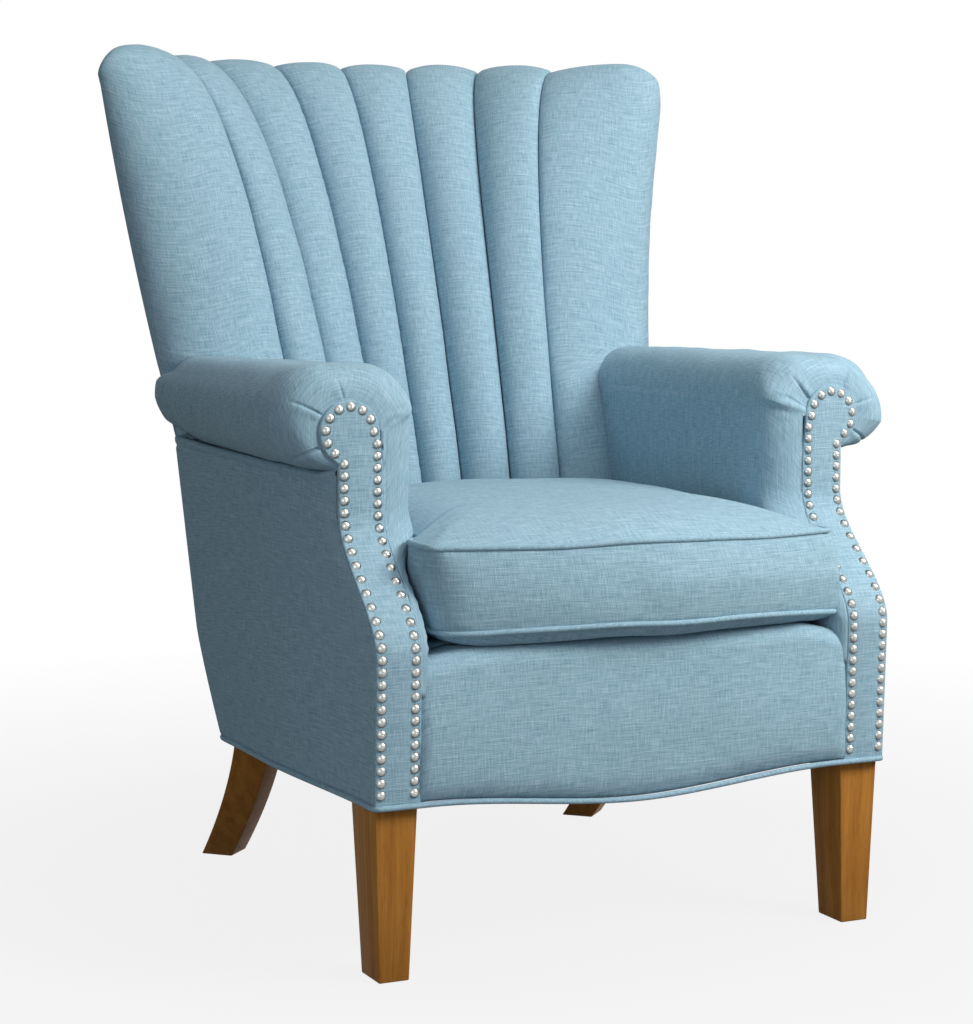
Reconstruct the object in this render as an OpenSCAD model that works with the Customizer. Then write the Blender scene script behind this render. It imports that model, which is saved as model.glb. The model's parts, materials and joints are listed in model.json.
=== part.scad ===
// Occasional chair: barrel back with upright channels, rolled arms, nailed arm facings,
// a loose boxed cushion, tapered front legs and swept rear legs.
// Millimetres. Z is up, the chair faces -Y, X = 0 is its plane of symmetry.
// Left and right are the sitter's: left is +X.

/* [Overall] */
// Height of the back at its lobed top edge
back_h = 1022; // [964:2:1084]
// Depth from the front of the cushion to the back of the top edge
depth = 928; // [880:4:980]
// Width across the two arm rolls
arm_span = 764; // [740:4:820]
// Width across the tips of the wings
wing_span = 788; // [760:4:840]

/* [Body] */
// Width across the outer edges of the arm facings
body_w = 632; // [620:2:660]
// Height of the underside of the body, which is the length of the legs
body_z = 193; // [170:1:215]
// How far the outside arm swells out behind its facing
side_bow = 15; // [8:1:22]
// How far the back of the body tucks forward at its foot
foot_tuck = 45; // [0:1:48]
// Thickness of the outside covers
skin = 5; // [4:0.5:7]
// How far the bottom edge of the front border dips in the middle
border_dip = 17; // [8:1:24]
// Diameter of the welts
welt_d = 6; // [5:0.5:8]

/* [Arms] */
// Height of the top of the arm rolls
arm_h = 650; // [620:2:690]
// Radius of the arm roll
roll_r = 57; // [52:1:62]
// How far the outer edge of the arm roll draws in towards the back
roll_taper = 27; // [10:1:30]
// How far the top of the arm roll falls towards the back
roll_fall = 10; // [0:1:14]
// Distance between the inner faces of the arms, near the front
seat_w = 440; // [420:2:450]
// How far each inner arm face falls away from the seat towards the back
arm_toe = 20; // [8:1:28]
// Width of the arm facing
facing_w = 53; // [50:1:58]
// Radius of the round head of the arm facing
head_r = 35; // [32:1:38]
// How far the facing swings back between its foot and its head
facing_sweep = 102; // [80:2:120]

/* [Nails] */
// Diameter of a nail head
nail_d = 11; // [9:0.5:12]
// Distance from nail to nail
nail_pitch = 13.3; // [12.5:0.1:16]

/* [Seat] */
// Height of the top seam of the cushion
seat_h = 461; // [450:1:480]
// Height of the boxing of the cushion
boxing_h = 90; // [75:1:100]
// Rise of the crown above the top seam
crown = 36; // [20:1:50]
// Width of the front of the cushion
cushion_w = 500; // [486:2:502]
// How far the front of the cushion bows forward
front_bow = 34; // [15:1:45]

/* [Back] */
// Swell of a back channel at mid height
channel_swell = 25; // [15:1:32]
// Depth of the padding behind the seams of the channels
pad = 12; // [9:1:16]
// Radius of the roll over the top edge of the back
top_roll = 22; // [18:1:28]
// How far the back leans over its full height
rake_run = 265; // [230:5:290]

/* [Legs] */
// Width of a front leg at its top
leg_top_w = 49; // [44:1:54]
// Depth of a front leg at its top, front to back
leg_top_d = 67; // [56:1:70]
// Width of a front leg at its foot
leg_foot_w = 35; // [30:1:42]
// Depth of a front leg at its foot
leg_foot_d = 49; // [40:1:54]
// Width of a rear leg
rear_leg_w = 42; // [36:1:43]
// How far a rear leg sweeps back
rear_sweep = 145; // [100:5:170]

/* [Frame] */
// Thickness of the seat rails
rail_t = 26; // [20:1:32]
// Height of the seat rails
rail_h = 70; // [55:1:85]
// Depth of the arm posts, front to back
post_d = 46; // [38:1:54]
// Size of the square back posts
back_post_w = 30; // [26:1:34]
// Height of the rails and slats of the arms and the top rail
slat_h = 36; // [30:1:42]
// Height of the blocks behind the rear legs
block_h = 62; // [52:1:66]
// Diameter of the leg bolts
bolt_d = 8; // [6:1:10]
// Diameter of the spring wire
wire_d = 3.8; // [3:0.2:4.6]
// Distance between the outermost seat springs
spring_spread = 380; // [340:5:390]
// Number of seat springs
springs = 5; // [4:1:5]

/* [Hidden] */

linen = "#8db4c6";
linen_dark = "#7ba3b6";
walnut = "#9c6a3a";
beech = "#d8b98a";
nickel = "#b9bcbd";
steel = "#8d9196";
cambric = "#2b2c2e";
burlap = "#b79a6c";

// Clearance between pieces that touch
gap = 0.3;
// Clearance between the cushion and the arms and back round it
cushion_play = 1.5;
front_y = -depth / 2 + 27;
rear_y = depth / 2 - 8;

// General functions

function lerp(a, b, t) = a + (b - a) * t;
function clamp01(t) = min(1, max(0, t));
function ease(t) = let (c = clamp01(t)) c * c * (3 - 2 * c);
function bez(p, t) = p[0] * pow(1 - t, 3) + 3 * p[1] * t * pow(1 - t, 2)
    + 3 * p[2] * t * t * (1 - t) + p[3] * pow(t, 3);
function unit(v) = v / norm(v);
function flip(list) = [for (i = [len(list) - 1:-1:0]) list[i]];
function spline(p, u) = let (
    n = len(p) - 1, i = min(n - 1, floor(u)), f = u - i,
    a = p[max(0, i - 1)], b = p[i], c = p[i + 1], d = p[min(n, i + 2)])
    b + 0.5 * f * (c - a + f * (2 * a - 5 * b + 4 * c - d + f * (3 * (b - c) + d - a)));

// Solid through a stack of rings. Point j of a ring faces point 2n - 1 - j across its cap.
module loft(rings) {
    n = len(rings[0]);
    last = len(rings) - 1;
    half = n / 2;
    points = [for (ring = rings) each ring];
    sides = [for (i = [0:last - 1], j = [0:n - 1]) let (
        a = i * n + j, b = i * n + (j + 1) % n, c = b + n, d = a + n)
        each [[a, d, c], [a, c, b]]];
    foot = [for (j = [0:half - 2]) let (a = j, b = j + 1, c = n - 2 - j, d = n - 1 - j)
        each [[a, b, c], [a, c, d]]];
    top = [for (f = foot) [f[0] + last * n, f[2] + last * n, f[1] + last * n]];
    polyhedron(points, concat(sides, foot, top), convexity = 8);
}

// Round tube along a path. Its cross-section has the given number of sides.
module tube(path, r, sides, closed = false) {
    n = len(path);
    tangents = [for (i = [0:n - 1]) unit(
        (closed ? path[(i + 1) % n] : path[min(n - 1, i + 1)])
        - (closed ? path[(i + n - 1) % n] : path[max(0, i - 1)]))];
    points = [for (i = [0:n - 1]) let (
        across = unit(cross(tangents[i], [0, 0, 1])), up = cross(across, tangents[i]))
        each [for (k = [0:sides - 1]) path[i]
            + r * (cos(360 * k / sides) * across + sin(360 * k / sides) * up)]];
    spans = closed ? n : n - 1;
    walls = [for (i = [0:spans - 1], k = [0:sides - 1]) let (
        a = i * sides + k, b = i * sides + (k + 1) % sides,
        d = ((i + 1) % n) * sides + k, c = ((i + 1) % n) * sides + (k + 1) % sides)
        each [[a, c, d], [a, b, c]]];
    ends = closed ? [] : [for (k = [1:sides - 2]) each
        [[0, k + 1, k], [(n - 1) * sides, (n - 1) * sides + k, (n - 1) * sides + k + 1]]];
    polyhedron(points, concat(walls, ends), convexity = 8);
}

module both_sides() {
    children();
    mirror([1, 0, 0]) children();
}

module on_side(s) {
    if (s > 0) children(); else mirror([1, 0, 0]) children();
}

// Outside of the body, seen from above and from the side

arm_rear_return = 140;
top_rear_return = 190;
tuck_h = 120;
rim_z = back_h - 37;
arm_neck_z = arm_h - 2 * roll_r;

function rise(z) = clamp01((z - body_z) / (rim_z - body_z));
function tuck(z) = foot_tuck * pow(clamp01((body_z + tuck_h - z) / tuck_h), 1.3);
function rear_line(z) = rear_y - rake_run * (1 - rise(z)) - tuck(z);
function side_edge_y(z) = rear_line(z) - lerp(arm_rear_return, top_rear_return,
    pow(clamp01((z - arm_h + 30) / (rim_z - arm_h + 30)), 2));
function swell(y) = side_bow * ease((y - front_y) / 290);
function side_x(y) = body_w / 2 + swell(y);
function wing_x(z) = lerp(body_w / 2 + side_bow, wing_span / 2 - 2,
    clamp01((z - arm_neck_z) / (rim_z - arm_neck_z)));

// The five upright lines of one half: middle, two seams, the wing seam and the wing edge
function outer_line(k, z) = let (
    drop = [0, 0, 8, 95, 0], low_drop = [0, 0, 15, 70, 0],
    x = [0, 107, 214, lerp(292, 295, rise(z)), wing_x(z) - 2])
    [x[k], k == 4 ? side_edge_y(z) : rear_line(z) - lerp(low_drop[k], drop[k], rise(z)), z];
function outer(u, z) = let (s = spline([for (k = [0:4]) outer_line(k, z)], abs(u)))
    [u < 0 ? -s[0] : s[0], s[1], z];

// Seams of the back, from the seat up over the top edge

seam_low_z = seat_h + 7;
low_t = -0.13;
wing_crown = 36;
crest_z = rim_z + top_roll;
seam_seat_x = [0, 56, 114, 174, 261];
seam_top_x = [0, 99, 206, 278, 394];
seam_seat_y = [296, 298, 325, 347, 336];
seam_mid_y = [210, 210, 238, 255, 300];
seam_high_y = [85, 82, 105, 175, 235];

function rim(k) = outer_line(k, rim_z);
function crest_y(k) = k == 4 ? side_edge_y(rim_z) - top_roll
    : rim(k)[1] - top_roll * [1, 1, 0.95, 0.7][k];
function seam_z(k, t) = bez([seam_low_z, lerp(seam_low_z, crest_z, 0.46),
    k == 4 ? rim_z : crest_z, k == 4 ? rim_z : crest_z], t);
function wing_edge_x(z) = lerp(seam_seat_x[4], wing_x(z), clamp01((z - arm_h + 58) / 34));
function seam_x(k, t) = k == 4 ? wing_edge_x(seam_z(4, t))
    : lerp(seam_seat_x[k], seam_top_x[k] * wing_span / 788, 0.52 * t + 0.48 * pow(t, 3));
function seam_y(k, t) = k == 4 ? side_edge_y(seam_z(4, t)) - top_roll
    : bez([rear_y - seam_seat_y[k], rear_y - seam_mid_y[k], rear_y - seam_high_y[k],
        crest_y(k)], t);

// Place on seam k. t runs from the seat at 0 to the crest at 1, then over the top to 2.
function seam(k, t) = t <= 1 ? [seam_x(k, t), seam_y(k, t), seam_z(k, t)]
    : let (c = [seam_x(k, 1), seam_y(k, 1), seam_z(k, 1)], r = rim(k), a = 90 * (t - 1))
    [lerp(c[0], r[0], sin(a)), lerp(c[1], r[1], sin(a)), lerp(c[2], r[2], 1 - cos(a))];
function between(k, t, s) = let (p = lerp(seam(k, t), seam(k + 1, t), s))
    k < 3 ? p : [p[0], p[1], lerp(seam(3, t)[2], seam(4, t)[2], pow(s, 4))
        + wing_crown * ease((t - 0.6) / 0.4) * pow(s, 1.5) * (1 - s)];
function facing_out(k, t) = let (
    step = 0.01, along = between(k, t + step, 0.5) - between(k, t - step, 0.5),
    across = seam(k + 1, t) - seam(k, t)) unit(cross(across, along));
function seam_out(k, t) = let (n = facing_out(min(k, 3), t))
    k == 0 ? unit([0, n[1], n[2]]) : k == 4 ? n : unit(n + facing_out(k - 1, t));
function out_at(k, t, s) = unit(lerp(seam_out(k, t), seam_out(k + 1, t), s));
function swell_at(t) = t <= 1 ? lerp(channel_swell, 11, pow(clamp01(t), 4)) : lerp(11, 8, t - 1);

channel_steps = [low_t, 0.02, 0.17, 0.32, 0.47, 0.6, 0.72, 0.83, 0.92, 0.97, 1.12, 1.4, 1.7, 2];

// Ring of one channel between seams k and k + 1
function channel_ring(k, t, count, fullness) = let (
    inset = 0.7 / norm(seam(k + 1, t) - seam(k, t)),
    share = [for (j = [0:count]) lerp(inset, 1 - inset, (1 - cos(180 * j / count)) / 2)],
    front = [for (s = share) between(k, t, s)
        + out_at(k, t, s) * swell_at(t) * pow(sin(180 * s), fullness)],
    rear = [for (s = flip(share)) between(k, t, s) - out_at(k, t, s) * pad])
    concat(front, rear);

module channel(k) {
    loft([for (t = channel_steps) channel_ring(k, t, 7, 0.7)]);
}

module wing_pad() {
    steps = concat([low_t, 0.02, 0.12, 0.17, 0.21, 0.26],
        [for (t = channel_steps) if (t > 0.3) t]);
    loft([for (t = steps) channel_ring(3, t, 9, 0.5)]);
}

// Arms

roll_x = arm_span / 2 - roll_r;
arm_front_y = front_y + facing_sweep - 6;
facing_inner_x = body_w / 2 - facing_w;
head_x = facing_inner_x + head_r + 4;
head_z = arm_neck_z + 44;
facing_t = 6;
wrap_in = 11;
arm_edge_r = 26;
arm_edge_run = 58;
frame_x0 = facing_inner_x + 4;
frame_x1 = body_w / 2 - skin - gap;
frame_top_z = arm_neck_z + 53;
deck_z = seat_h - boxing_h - 14;
arm_rear_y = rear_line(arm_h) - 170;

function heights(z0, z1) = concat([z0],
    [for (z = [body_z + 6:6:arm_h]) if (z > z0 + 1 && z < z1 - 1) z], [z1]);
function facing_y(z) = front_y - 6 * clamp01((z - body_z) / 150)
    + facing_sweep * ease((z - body_z - 159) / 142);
function arm_in(y) = seat_w / 2 + arm_toe * clamp01((y - front_y - 130) / 420);

// Share of the way along the arm, and the roll there, which tapers towards the back
function arm_run(y) = clamp01((y - arm_front_y) / (arm_rear_y - arm_front_y));
function roll_r_at(y) = roll_r - arm_run(y) * roll_fall / 2;
function roll_x_at(y) = roll_x - arm_run(y) * (roll_taper - roll_fall / 2);
// Angle and height at which the roll meets the outside arm
function tuck_a(y, e) = -acos((roll_x - roll_x_at(y)) / (roll_r_at(y) - e));
function tuck_z(y, e) = arm_neck_z + roll_r_at(y) + (roll_r_at(y) - e) * sin(tuck_a(y, e));

// Outline of the arm pad across the arm, drawn in by e, from the seat up over the roll
function arm_outer(y, e) = let (
    x0 = arm_in(y) + e, r1 = 50 - e, r2 = roll_r_at(y) - e, cx = arm_in(y) + 50,
    rx = roll_x_at(y), rz = arm_neck_z + roll_r_at(y), top = rz + roll_r_at(y))
    concat([for (z = [deck_z - 50, deck_z + 20, deck_z + 90, deck_z + 165]) [x0, z]],
        [for (a = [180:-22.5:90]) [cx + r1 * cos(a), top - 50 + r1 * sin(a)]],
        [[(cx + rx) / 2, top - e]],
        [for (i = [0:9]) let (a = lerp(90, tuck_a(y, e), i / 9)) [rx + r2 * cos(a), rz + r2 * sin(a)]],
        [[frame_x1 + 1 + gap, tuck_z(y, e) + 0.5]]);
function arm_inner(y, e) = let (x0 = frame_x0 - gap, x1 = frame_x1 + gap,
    z1 = frame_top_z + gap, z2 = tuck_z(y, e) + 2, z_bend = deck_z + 165)
    concat([for (z = [deck_z - 50, deck_z + 20, deck_z + 90, z_bend]) [x0, z]],
        [for (s = [0.2:0.2:1]) [x0, lerp(z_bend, z1, s)]],
        [for (s = [0.2:0.2:1]) [lerp(x0, x1, s), z1]],
        [for (s = [1:7]) [x1, lerp(z1, z2, s / 7)]]);

// Front of the wing pad at a height, where the arm pad ends
function t_at(z, lo = -0.2, hi = 1, i = 0) = let (mid = (lo + hi) / 2)
    i > 14 ? mid : seam_z(3, mid) < z ? t_at(z, mid, hi, i + 1) : t_at(z, lo, mid, i + 1);
function wing_front_y(x, z) = let (
    t = t_at(z), a = seam(3, t), b = seam(4, t), s = clamp01((x - a[0]) / (b[0] - a[0])))
    lerp(a[1], b[1], s) - channel_swell - 4;

module arm_pad() {
    cut = [for (a = [0:22.5:90]) [1 - sin(a), 1 - cos(a)]];
    y0 = arm_front_y + facing_t + gap;
    y1 = y0 + arm_edge_run;
    front_rings = [for (c = flip(cut)) let (y = lerp(y0, y1, c[0]), e = arm_edge_r * c[1])
        [for (p = concat(arm_outer(y, e), flip(arm_inner(y, e)))) [p[0], y, p[1]]]];
    rear_rings = [for (s = [0.15:0.17:1]) let (y = lerp(y1, arm_rear_y, s))
        [for (p = concat(arm_outer(y, 0), flip(arm_inner(y, 0))))
            [p[0], lerp(y1, wing_front_y(p[0], p[1]), s), p[1]]]];
    loft(concat(front_rings, rear_rings));
    inside_wrap();
}

// The cover of the inside arm, carried forward to the inner edge of the facing
module inside_wrap() {
    x0 = facing_inner_x - wrap_in;
    levels = heights(deck_z + 4, arm_neck_z + 20);
    translate([x0, 0, 0]) rotate([90, 0, 90]) linear_extrude(frame_x0 - gap - x0)
        polygon(concat([for (z = levels) [facing_y(z) + facing_t + gap, z]],
            [for (z = flip(levels)) [arm_front_y + 45, z]]));
}

module side_profile(offset_y, depth_y, z0, z1, x0, x1) {
    levels = heights(z0, z1);
    translate([x0, 0, 0]) rotate([90, 0, 90]) linear_extrude(x1 - x0)
        polygon(concat([for (z = levels) [facing_y(z) + offset_y, z]],
            [for (z = flip(levels)) [facing_y(z) + offset_y + depth_y, z]]));
}

module facing_outline() {
    translate([facing_inner_x, body_z]) square([facing_w, head_z - 10 - body_z]);
    translate([head_x, head_z]) circle(r = head_r, $fn = 64);
}

module arm_facing() {
    intersection() {
        side_profile(0, facing_t, body_z - 1, head_z + head_r + 1, facing_inner_x - 1, head_x + head_r + 1);
        translate([0, depth / 2, 0]) rotate([90, 0, 0]) linear_extrude(depth) facing_outline();
    }
}

// Nails: up the outer edge of the facing, round its head and down its inner edge

nail_in = 7.5;
nail_head_r = head_r - nail_in;
nail_outer_x = body_w / 2 - nail_in;
nail_inner_x = facing_inner_x + nail_in;
neck_a = -52;
nail_low_z = body_z + 13;

function row_points(x, z_end) = let (
    run = z_end - nail_low_z + 12, n = floor(run / nail_pitch))
    [for (i = [0:n]) [x, nail_low_z + (z_end - nail_low_z) * i / n]];
nail_spots = concat(
    row_points(nail_outer_x, head_z + nail_head_r * sin(neck_a) - nail_pitch * 0.9),
    let (arc = 180 - neck_a, n = round(nail_head_r * arc * PI / 180 / nail_pitch))
    [for (i = [0:n]) let (a = neck_a + arc * i / n)
        [head_x + nail_head_r * cos(a), head_z + nail_head_r * sin(a)]],
    row_points(nail_inner_x, head_z - nail_pitch));

module nail() {
    dome = 3.4;
    r = (nail_d * nail_d / 4 + dome * dome) / (2 * dome);
    translate([0, 0, dome - r]) intersection() {
        sphere(r = r, $fn = 24);
        translate([-nail_d, -nail_d, r - dome]) cube([2 * nail_d, 2 * nail_d, dome * 2]);
    }
}

module facing_nails() {
    for (p = nail_spots) {
        r = nail_d / 2;
        slope = atan((facing_y(p[1] + r) - facing_y(p[1] - r)) / nail_d);
        hollow = facing_y(p[1]) - (facing_y(p[1] - r) + facing_y(p[1] + r)) / 2;
        translate([p[0], facing_y(p[1]) - gap - abs(hollow), p[1]])
            rotate([90 - slope, 0, 0]) nail();
    }
}

// Heights at which the outside covers are drawn
cover_levels = concat([for (d = [0, 12, 26, 42, 60, 80, 100]) body_z + d],
    [for (i = [0:7]) lerp(body_z + tuck_h, rim_z - 1, i / 7)]);

module outside_arm() {
    z0 = body_z;
    z1 = arm_neck_z - gap;
    n = 14;
    ys = [for (i = [0:n]) lerp(front_y - 20, side_edge_y(z1), i / n)];
    levels = heights(z0, z1);
    top = [for (y = ys) if (y > arm_front_y + 20) [y, tuck_z(y, 0) - gap]];
    intersection() {
        translate([0, 0, z0]) linear_extrude(z1 - z0 + 20) polygon(concat(
            [for (y = ys) [side_x(y), y]], [for (y = flip(ys)) [side_x(y) - skin, y]]));
        translate([body_w / 2 - 20, 0, 0]) rotate([90, 0, 90]) linear_extrude(60)
            polygon(concat([for (z = levels) [facing_y(z) + facing_t + gap, z]], top,
                [for (z = flip(cover_levels)) if (z < z1 - 3) [side_edge_y(z) - gap, z]]));
    }
}

module outside_back() {
    cols = [for (i = [-16:16]) i / 4];
    loft([for (z = cover_levels) let (
        outside = [for (u = cols) outer(u, z)],
        inside = [for (i = [0:len(cols) - 1]) let (
            before = outside[max(0, i - 1)], after = outside[min(len(cols) - 1, i + 1)],
            along = i == 0 ? [0, 1] : i == len(cols) - 1 ? [0, -1] : unit(after - before))
            outside[i] + skin * [along[1], -along[0], 0]])
        concat(inside, flip(outside))]);
}

module back_liner() {
    near = pad + 1.5;
    thick = 2.2;
    cols = [-2.9, -2.5, -2, -1.5, -1, -0.5, 0, 0.5, 1, 1.5, 2, 2.5, 2.9];
    function at(u, t, d) = let (
        k = min(2, floor(abs(u))), s = abs(u) - k, q = between(k, t, s) - out_at(k, t, s) * d)
        [u < 0 ? -q[0] : q[0], q[1], q[2]];
    loft([for (i = [0:6]) let (t = channel_steps[i]) concat([for (u = cols) at(u, t, near)],
        [for (u = flip(cols)) at(u, t, near + thick)])]);
}

// Frame

rail_z = body_z + 12;
post_x = frame_x0 + 18;
post_w = frame_x1 - frame_x0;
side_post_y = facing_y(body_z) + facing_t + gap + post_d;
block_d = 96;
block_y0 = side_edge_y(rail_z) - 0.7;
block_x0 = frame_x0 - 46;
rear_leg_x = frame_x0 - 9;
rear_leg_y = block_y0 + block_d / 2 - 2;
front_leg_x = body_w / 2 - leg_top_w / 2 - 4;
front_leg_y = facing_y(body_z) + 8 + leg_top_d / 2;
back_post_y0 = rear_y - rake_run - arm_rear_return + 21;
back_post_lean = (rake_run - 10) / (rim_z - body_z);
back_post_top_z = rim_z - 62;

function back_post_y(z) = back_post_y0 + back_post_lean * (z - body_z);

module arm_post() {
    side_profile(facing_t + gap, post_d, body_z, frame_top_z, frame_x0, frame_x1);
}

module drilled_arm_post() {
    difference() {
        arm_post();
        translate([front_leg_x, front_leg_y, body_z - 1]) cylinder(d = bolt_d + 2 * gap, h = 60, $fn = 32);
    }
}

module arm_rail() {
    z0 = frame_top_z - slat_h;
    y0 = facing_y(frame_top_z) + facing_t + gap + post_d;
    y1 = back_post_y(z0) - back_post_w / 2 - 2;
    translate([frame_x0, y0, z0]) cube([post_w, y1 - y0, slat_h]);
}

module arm_slat() {
    z0 = deck_z + 30;
    y0 = facing_y(z0 + slat_h) + facing_t + gap + post_d;
    y1 = back_post_y(z0) - back_post_w / 2 - 2;
    translate([frame_x0 + post_w / 4, y0, z0]) cube([post_w / 2, y1 - y0, slat_h]);
}

module back_post() {
    z0 = body_z + block_h + gap;
    z1 = back_post_top_z;
    chamfer_w = 13;
    chamfer_h = 48;
    translate([post_x, 0, 0]) rotate([90, 0, 90])
        translate([0, 0, -back_post_w / 2]) linear_extrude(back_post_w) polygon([
            [back_post_y(z0) - back_post_w / 2, z0],
            [back_post_y(z0) + back_post_w / 2 - chamfer_w, z0],
            [back_post_y(z0 + chamfer_h) + back_post_w / 2, z0 + chamfer_h],
            [back_post_y(z1) + back_post_w / 2, z1], [back_post_y(z1) - back_post_w / 2, z1]]);
}

module front_rail() {
    x = frame_x0 - gap;
    y0 = facing_y(rail_z) + 8;
    translate([-x, y0, rail_z]) cube([2 * x, rail_t, rail_h]);
}

module side_rail() {
    y1 = block_y0 - gap;
    n = 12;
    ys = [for (i = [0:n]) lerp(side_post_y + gap, y1, i / n)];
    translate([0, 0, rail_z]) linear_extrude(rail_h) polygon(concat(
        [for (y = ys) [side_x(y) - skin - gap, y]],
        [for (y = flip(ys)) [frame_x1 - rail_t, y]]));
}

function band(u0, u1, z, inset, count) = [for (i = [0:count]) let (
    u = lerp(u0, u1, i / count), p = outer(u, z), a = outer(u - 0.02, z), b = outer(u + 0.02, z),
    along = unit(b - a)) [p[0] + inset * along[1], p[1] - inset * along[0]]];

module bent_rail(u, z0, height, thick) {
    translate([0, 0, z0]) linear_extrude(height) polygon(concat(
        band(-u, u, z0, skin + 1, 24), flip(band(-u, u, z0, skin + 1 + thick, 24))));
}

module rear_rail() {
    difference() {
        bent_rail(3.0, rail_z, rail_h, rail_t);
        both_sides() translate([block_x0 - gap, block_y0 - 1, rail_z - 1])
            cube([120, block_d + 1 + gap, rail_h + 2]);
    }
}

module back_top_rail() {
    bent_rail(3.3, back_post_top_z + gap, slat_h - 2, rail_t);
}

module back_slat() {
    z0 = deck_z + 40;
    z1 = z0 + slat_h + 8;
    thick = rail_t - 10;
    x = post_x;
    y0 = back_post_w / 2 + 3 * gap;
    translate([-x, 0, 0]) rotate([90, 0, 90]) linear_extrude(2 * x) polygon([
        [back_post_y(z0) + y0, z0], [back_post_y(z0) + y0 + thick, z0],
        [back_post_y(z1) + y0 + thick, z1], [back_post_y(z1) + y0, z1]]);
}

module wing_stile() {
    z0 = frame_top_z + 1;
    z1 = back_post_top_z;
    w = 9;
    d = 7;
    x0 = post_x + back_post_w / 2 + gap + w;
    spots = concat([for (z = [z0, z0 + 50]) [x0, back_post_y(z) - 9, z]],
        [[wing_x(z1) - 48, side_edge_y(z1) + 14, z1]]);
    loft([for (p = spots) [for (c = [[-w, -d], [w, -d], [w, d], [-w, d]]) p + [c[0], c[1], 0]]]);
}

module corner_blocks() {
    both_sides() {
        difference() {
            intersection() {
                translate([block_x0, block_y0, body_z]) cube([76, block_d, block_h]);
                linear_extrude(depth) polygon(band(-4, 4, body_z, skin + 1, 48));
            }
            translate([rear_leg_x, rear_leg_y, body_z - 1]) cylinder(d = bolt_d + 2 * gap, h = 60, $fn = 32);
        }
        translate([frame_x0 - gap, facing_y(rail_z) + 8 + rail_t + gap, rail_z]) linear_extrude(50)
            polygon([[0, 0], [-48, 0], [0, 48]]);
    }
}

// Legs

module front_leg() {
    shift = [1, -3.5, 0];
    difference() {
        loft([for (s = [0, 1]) let (
            w = (s == 0 ? leg_foot_w : leg_top_w) / 2, d = (s == 0 ? leg_foot_d : leg_top_d) / 2)
            [for (c = [[-w, -d], [w, -d], [w, d], [-w, d]])
                [front_leg_x + c[0], front_leg_y + c[1], s * (body_z - 0.01)] + (1 - s) * shift]]);
        translate([front_leg_x, front_leg_y, body_z - 50]) cylinder(d = bolt_d + 2 * gap, h = 60, $fn = 32);
    }
}

function rear_leg_ring(s) = let (
    h = rear_leg_w / sqrt(2) * lerp(1.14, 1, s), z = body_z * (1 - s) - (s == 0 ? 0.01 : 0),
    y = rear_leg_y + rear_sweep * pow(s, 1.5))
    [for (a = [-90, 0, 90, 180]) [rear_leg_x + h * cos(a), y + h * sin(a), z]];

module rear_leg() {
    difference() {
        loft([for (i = [10:-1:0]) rear_leg_ring(i / 10)]);
        translate([rear_leg_x, rear_leg_y, body_z - 45]) cylinder(d = bolt_d + 2 * gap, h = 60, $fn = 32);
    }
}

module leg_bolts() {
    both_sides() {
        translate([front_leg_x, front_leg_y, body_z - 49.8]) cylinder(d = bolt_d, h = 108, $fn = 32);
        translate([rear_leg_x, rear_leg_y, body_z - 44.8]) cylinder(d = bolt_d, h = 103, $fn = 32);
    }
}

// Seat

border_y = facing_y(body_z) - 1;
spring_y0 = facing_y(rail_z) + 8 + rail_t / 2;
spring_z = rail_z + rail_h + 2 + wire_d / 2;
waves = 8;
clip_t = 1.6;

function rear_rail_y(x) = rear_line(rail_z) - skin - gap - rail_t / 2 - 0.0006 * x * x;
function spring_path(x) = let (y0 = spring_y0, y1 = rear_rail_y(x), steps = waves * 9)
    [for (i = [0:steps]) let (s = i / steps, a = 360 * waves * s)
        [x + 24 * sin(a), lerp(y0, y1, s) - 5 * sin(2 * a), spring_z + 24 * sin(180 * s)]];
function spring_x(i) = spring_spread * (i / (springs - 1) - 0.5);

module seat_springs() {
    for (i = [0:springs - 1]) tube(spring_path(spring_x(i)), wire_d / 2, 5);
}

module spring_clips() {
    for (i = [0:springs - 1], y = [spring_y0, rear_rail_y(spring_x(i))])
        translate([spring_x(i) - 8, y - 7, rail_z + rail_h + 0.1]) cube([16, 14, clip_t]);
}

// Half outline of the cushion, from the middle of the front round to the middle of the rear
cushion_front_y = -depth / 2 - 0.5;
cushion_corner_y = cushion_front_y + front_bow;
cushion_rear_y = rear_y - seam_seat_y[0] - channel_swell - cushion_play - 7;
cushion_lean = 0.36;
rear_corner_y = cushion_rear_y - 80;
rear_corner_x = arm_in(rear_corner_y - cushion_lean * boxing_h) - cushion_play - 30;

function cushion_half(inset) = let (
    w = cushion_w / 2, r = 22, y_side = arm_front_y - 34)
    concat(
        [for (s = [0, 0.2, 0.4, 0.6, 0.8, 1]) let (x = s * (w - r))
            [x, cushion_front_y + front_bow * pow(x / w, 2) + inset]],
        [for (a = [-55, -30, 0]) [w - r + (r - inset) * cos(a),
            cushion_corner_y + r - 6 + (r - inset) * sin(a)]],
        [for (s = [0, 0.25, 0.5, 0.75, 1]) let (y = lerp(y_side, arm_front_y + 22, s))
            [lerp(w, arm_in(y) - cushion_play, ease(s)) - inset, y]],
        [for (s = [0.2, 0.4, 0.6, 0.8]) let (
            y = lerp(arm_front_y + 22, rear_corner_y, s))
            [min(arm_in(y) - cushion_play, rear_corner_x + 30) - inset, y]],
        [for (a = [10, 40, 75]) [rear_corner_x + (30 - inset) * cos(a),
            rear_corner_y + (34 - inset) * sin(a)]],
        [for (s = [0.8, 0.6, 0.4, 0.2, 0]) let (x = s * 190)
            [x, cushion_rear_y - 46 * ease(x / 155) - inset]]);
function mirror_round(half) = concat(half, [for (i = [len(half) - 2:-1:1]) [-half[i][0], half[i][1]]]);
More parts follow.
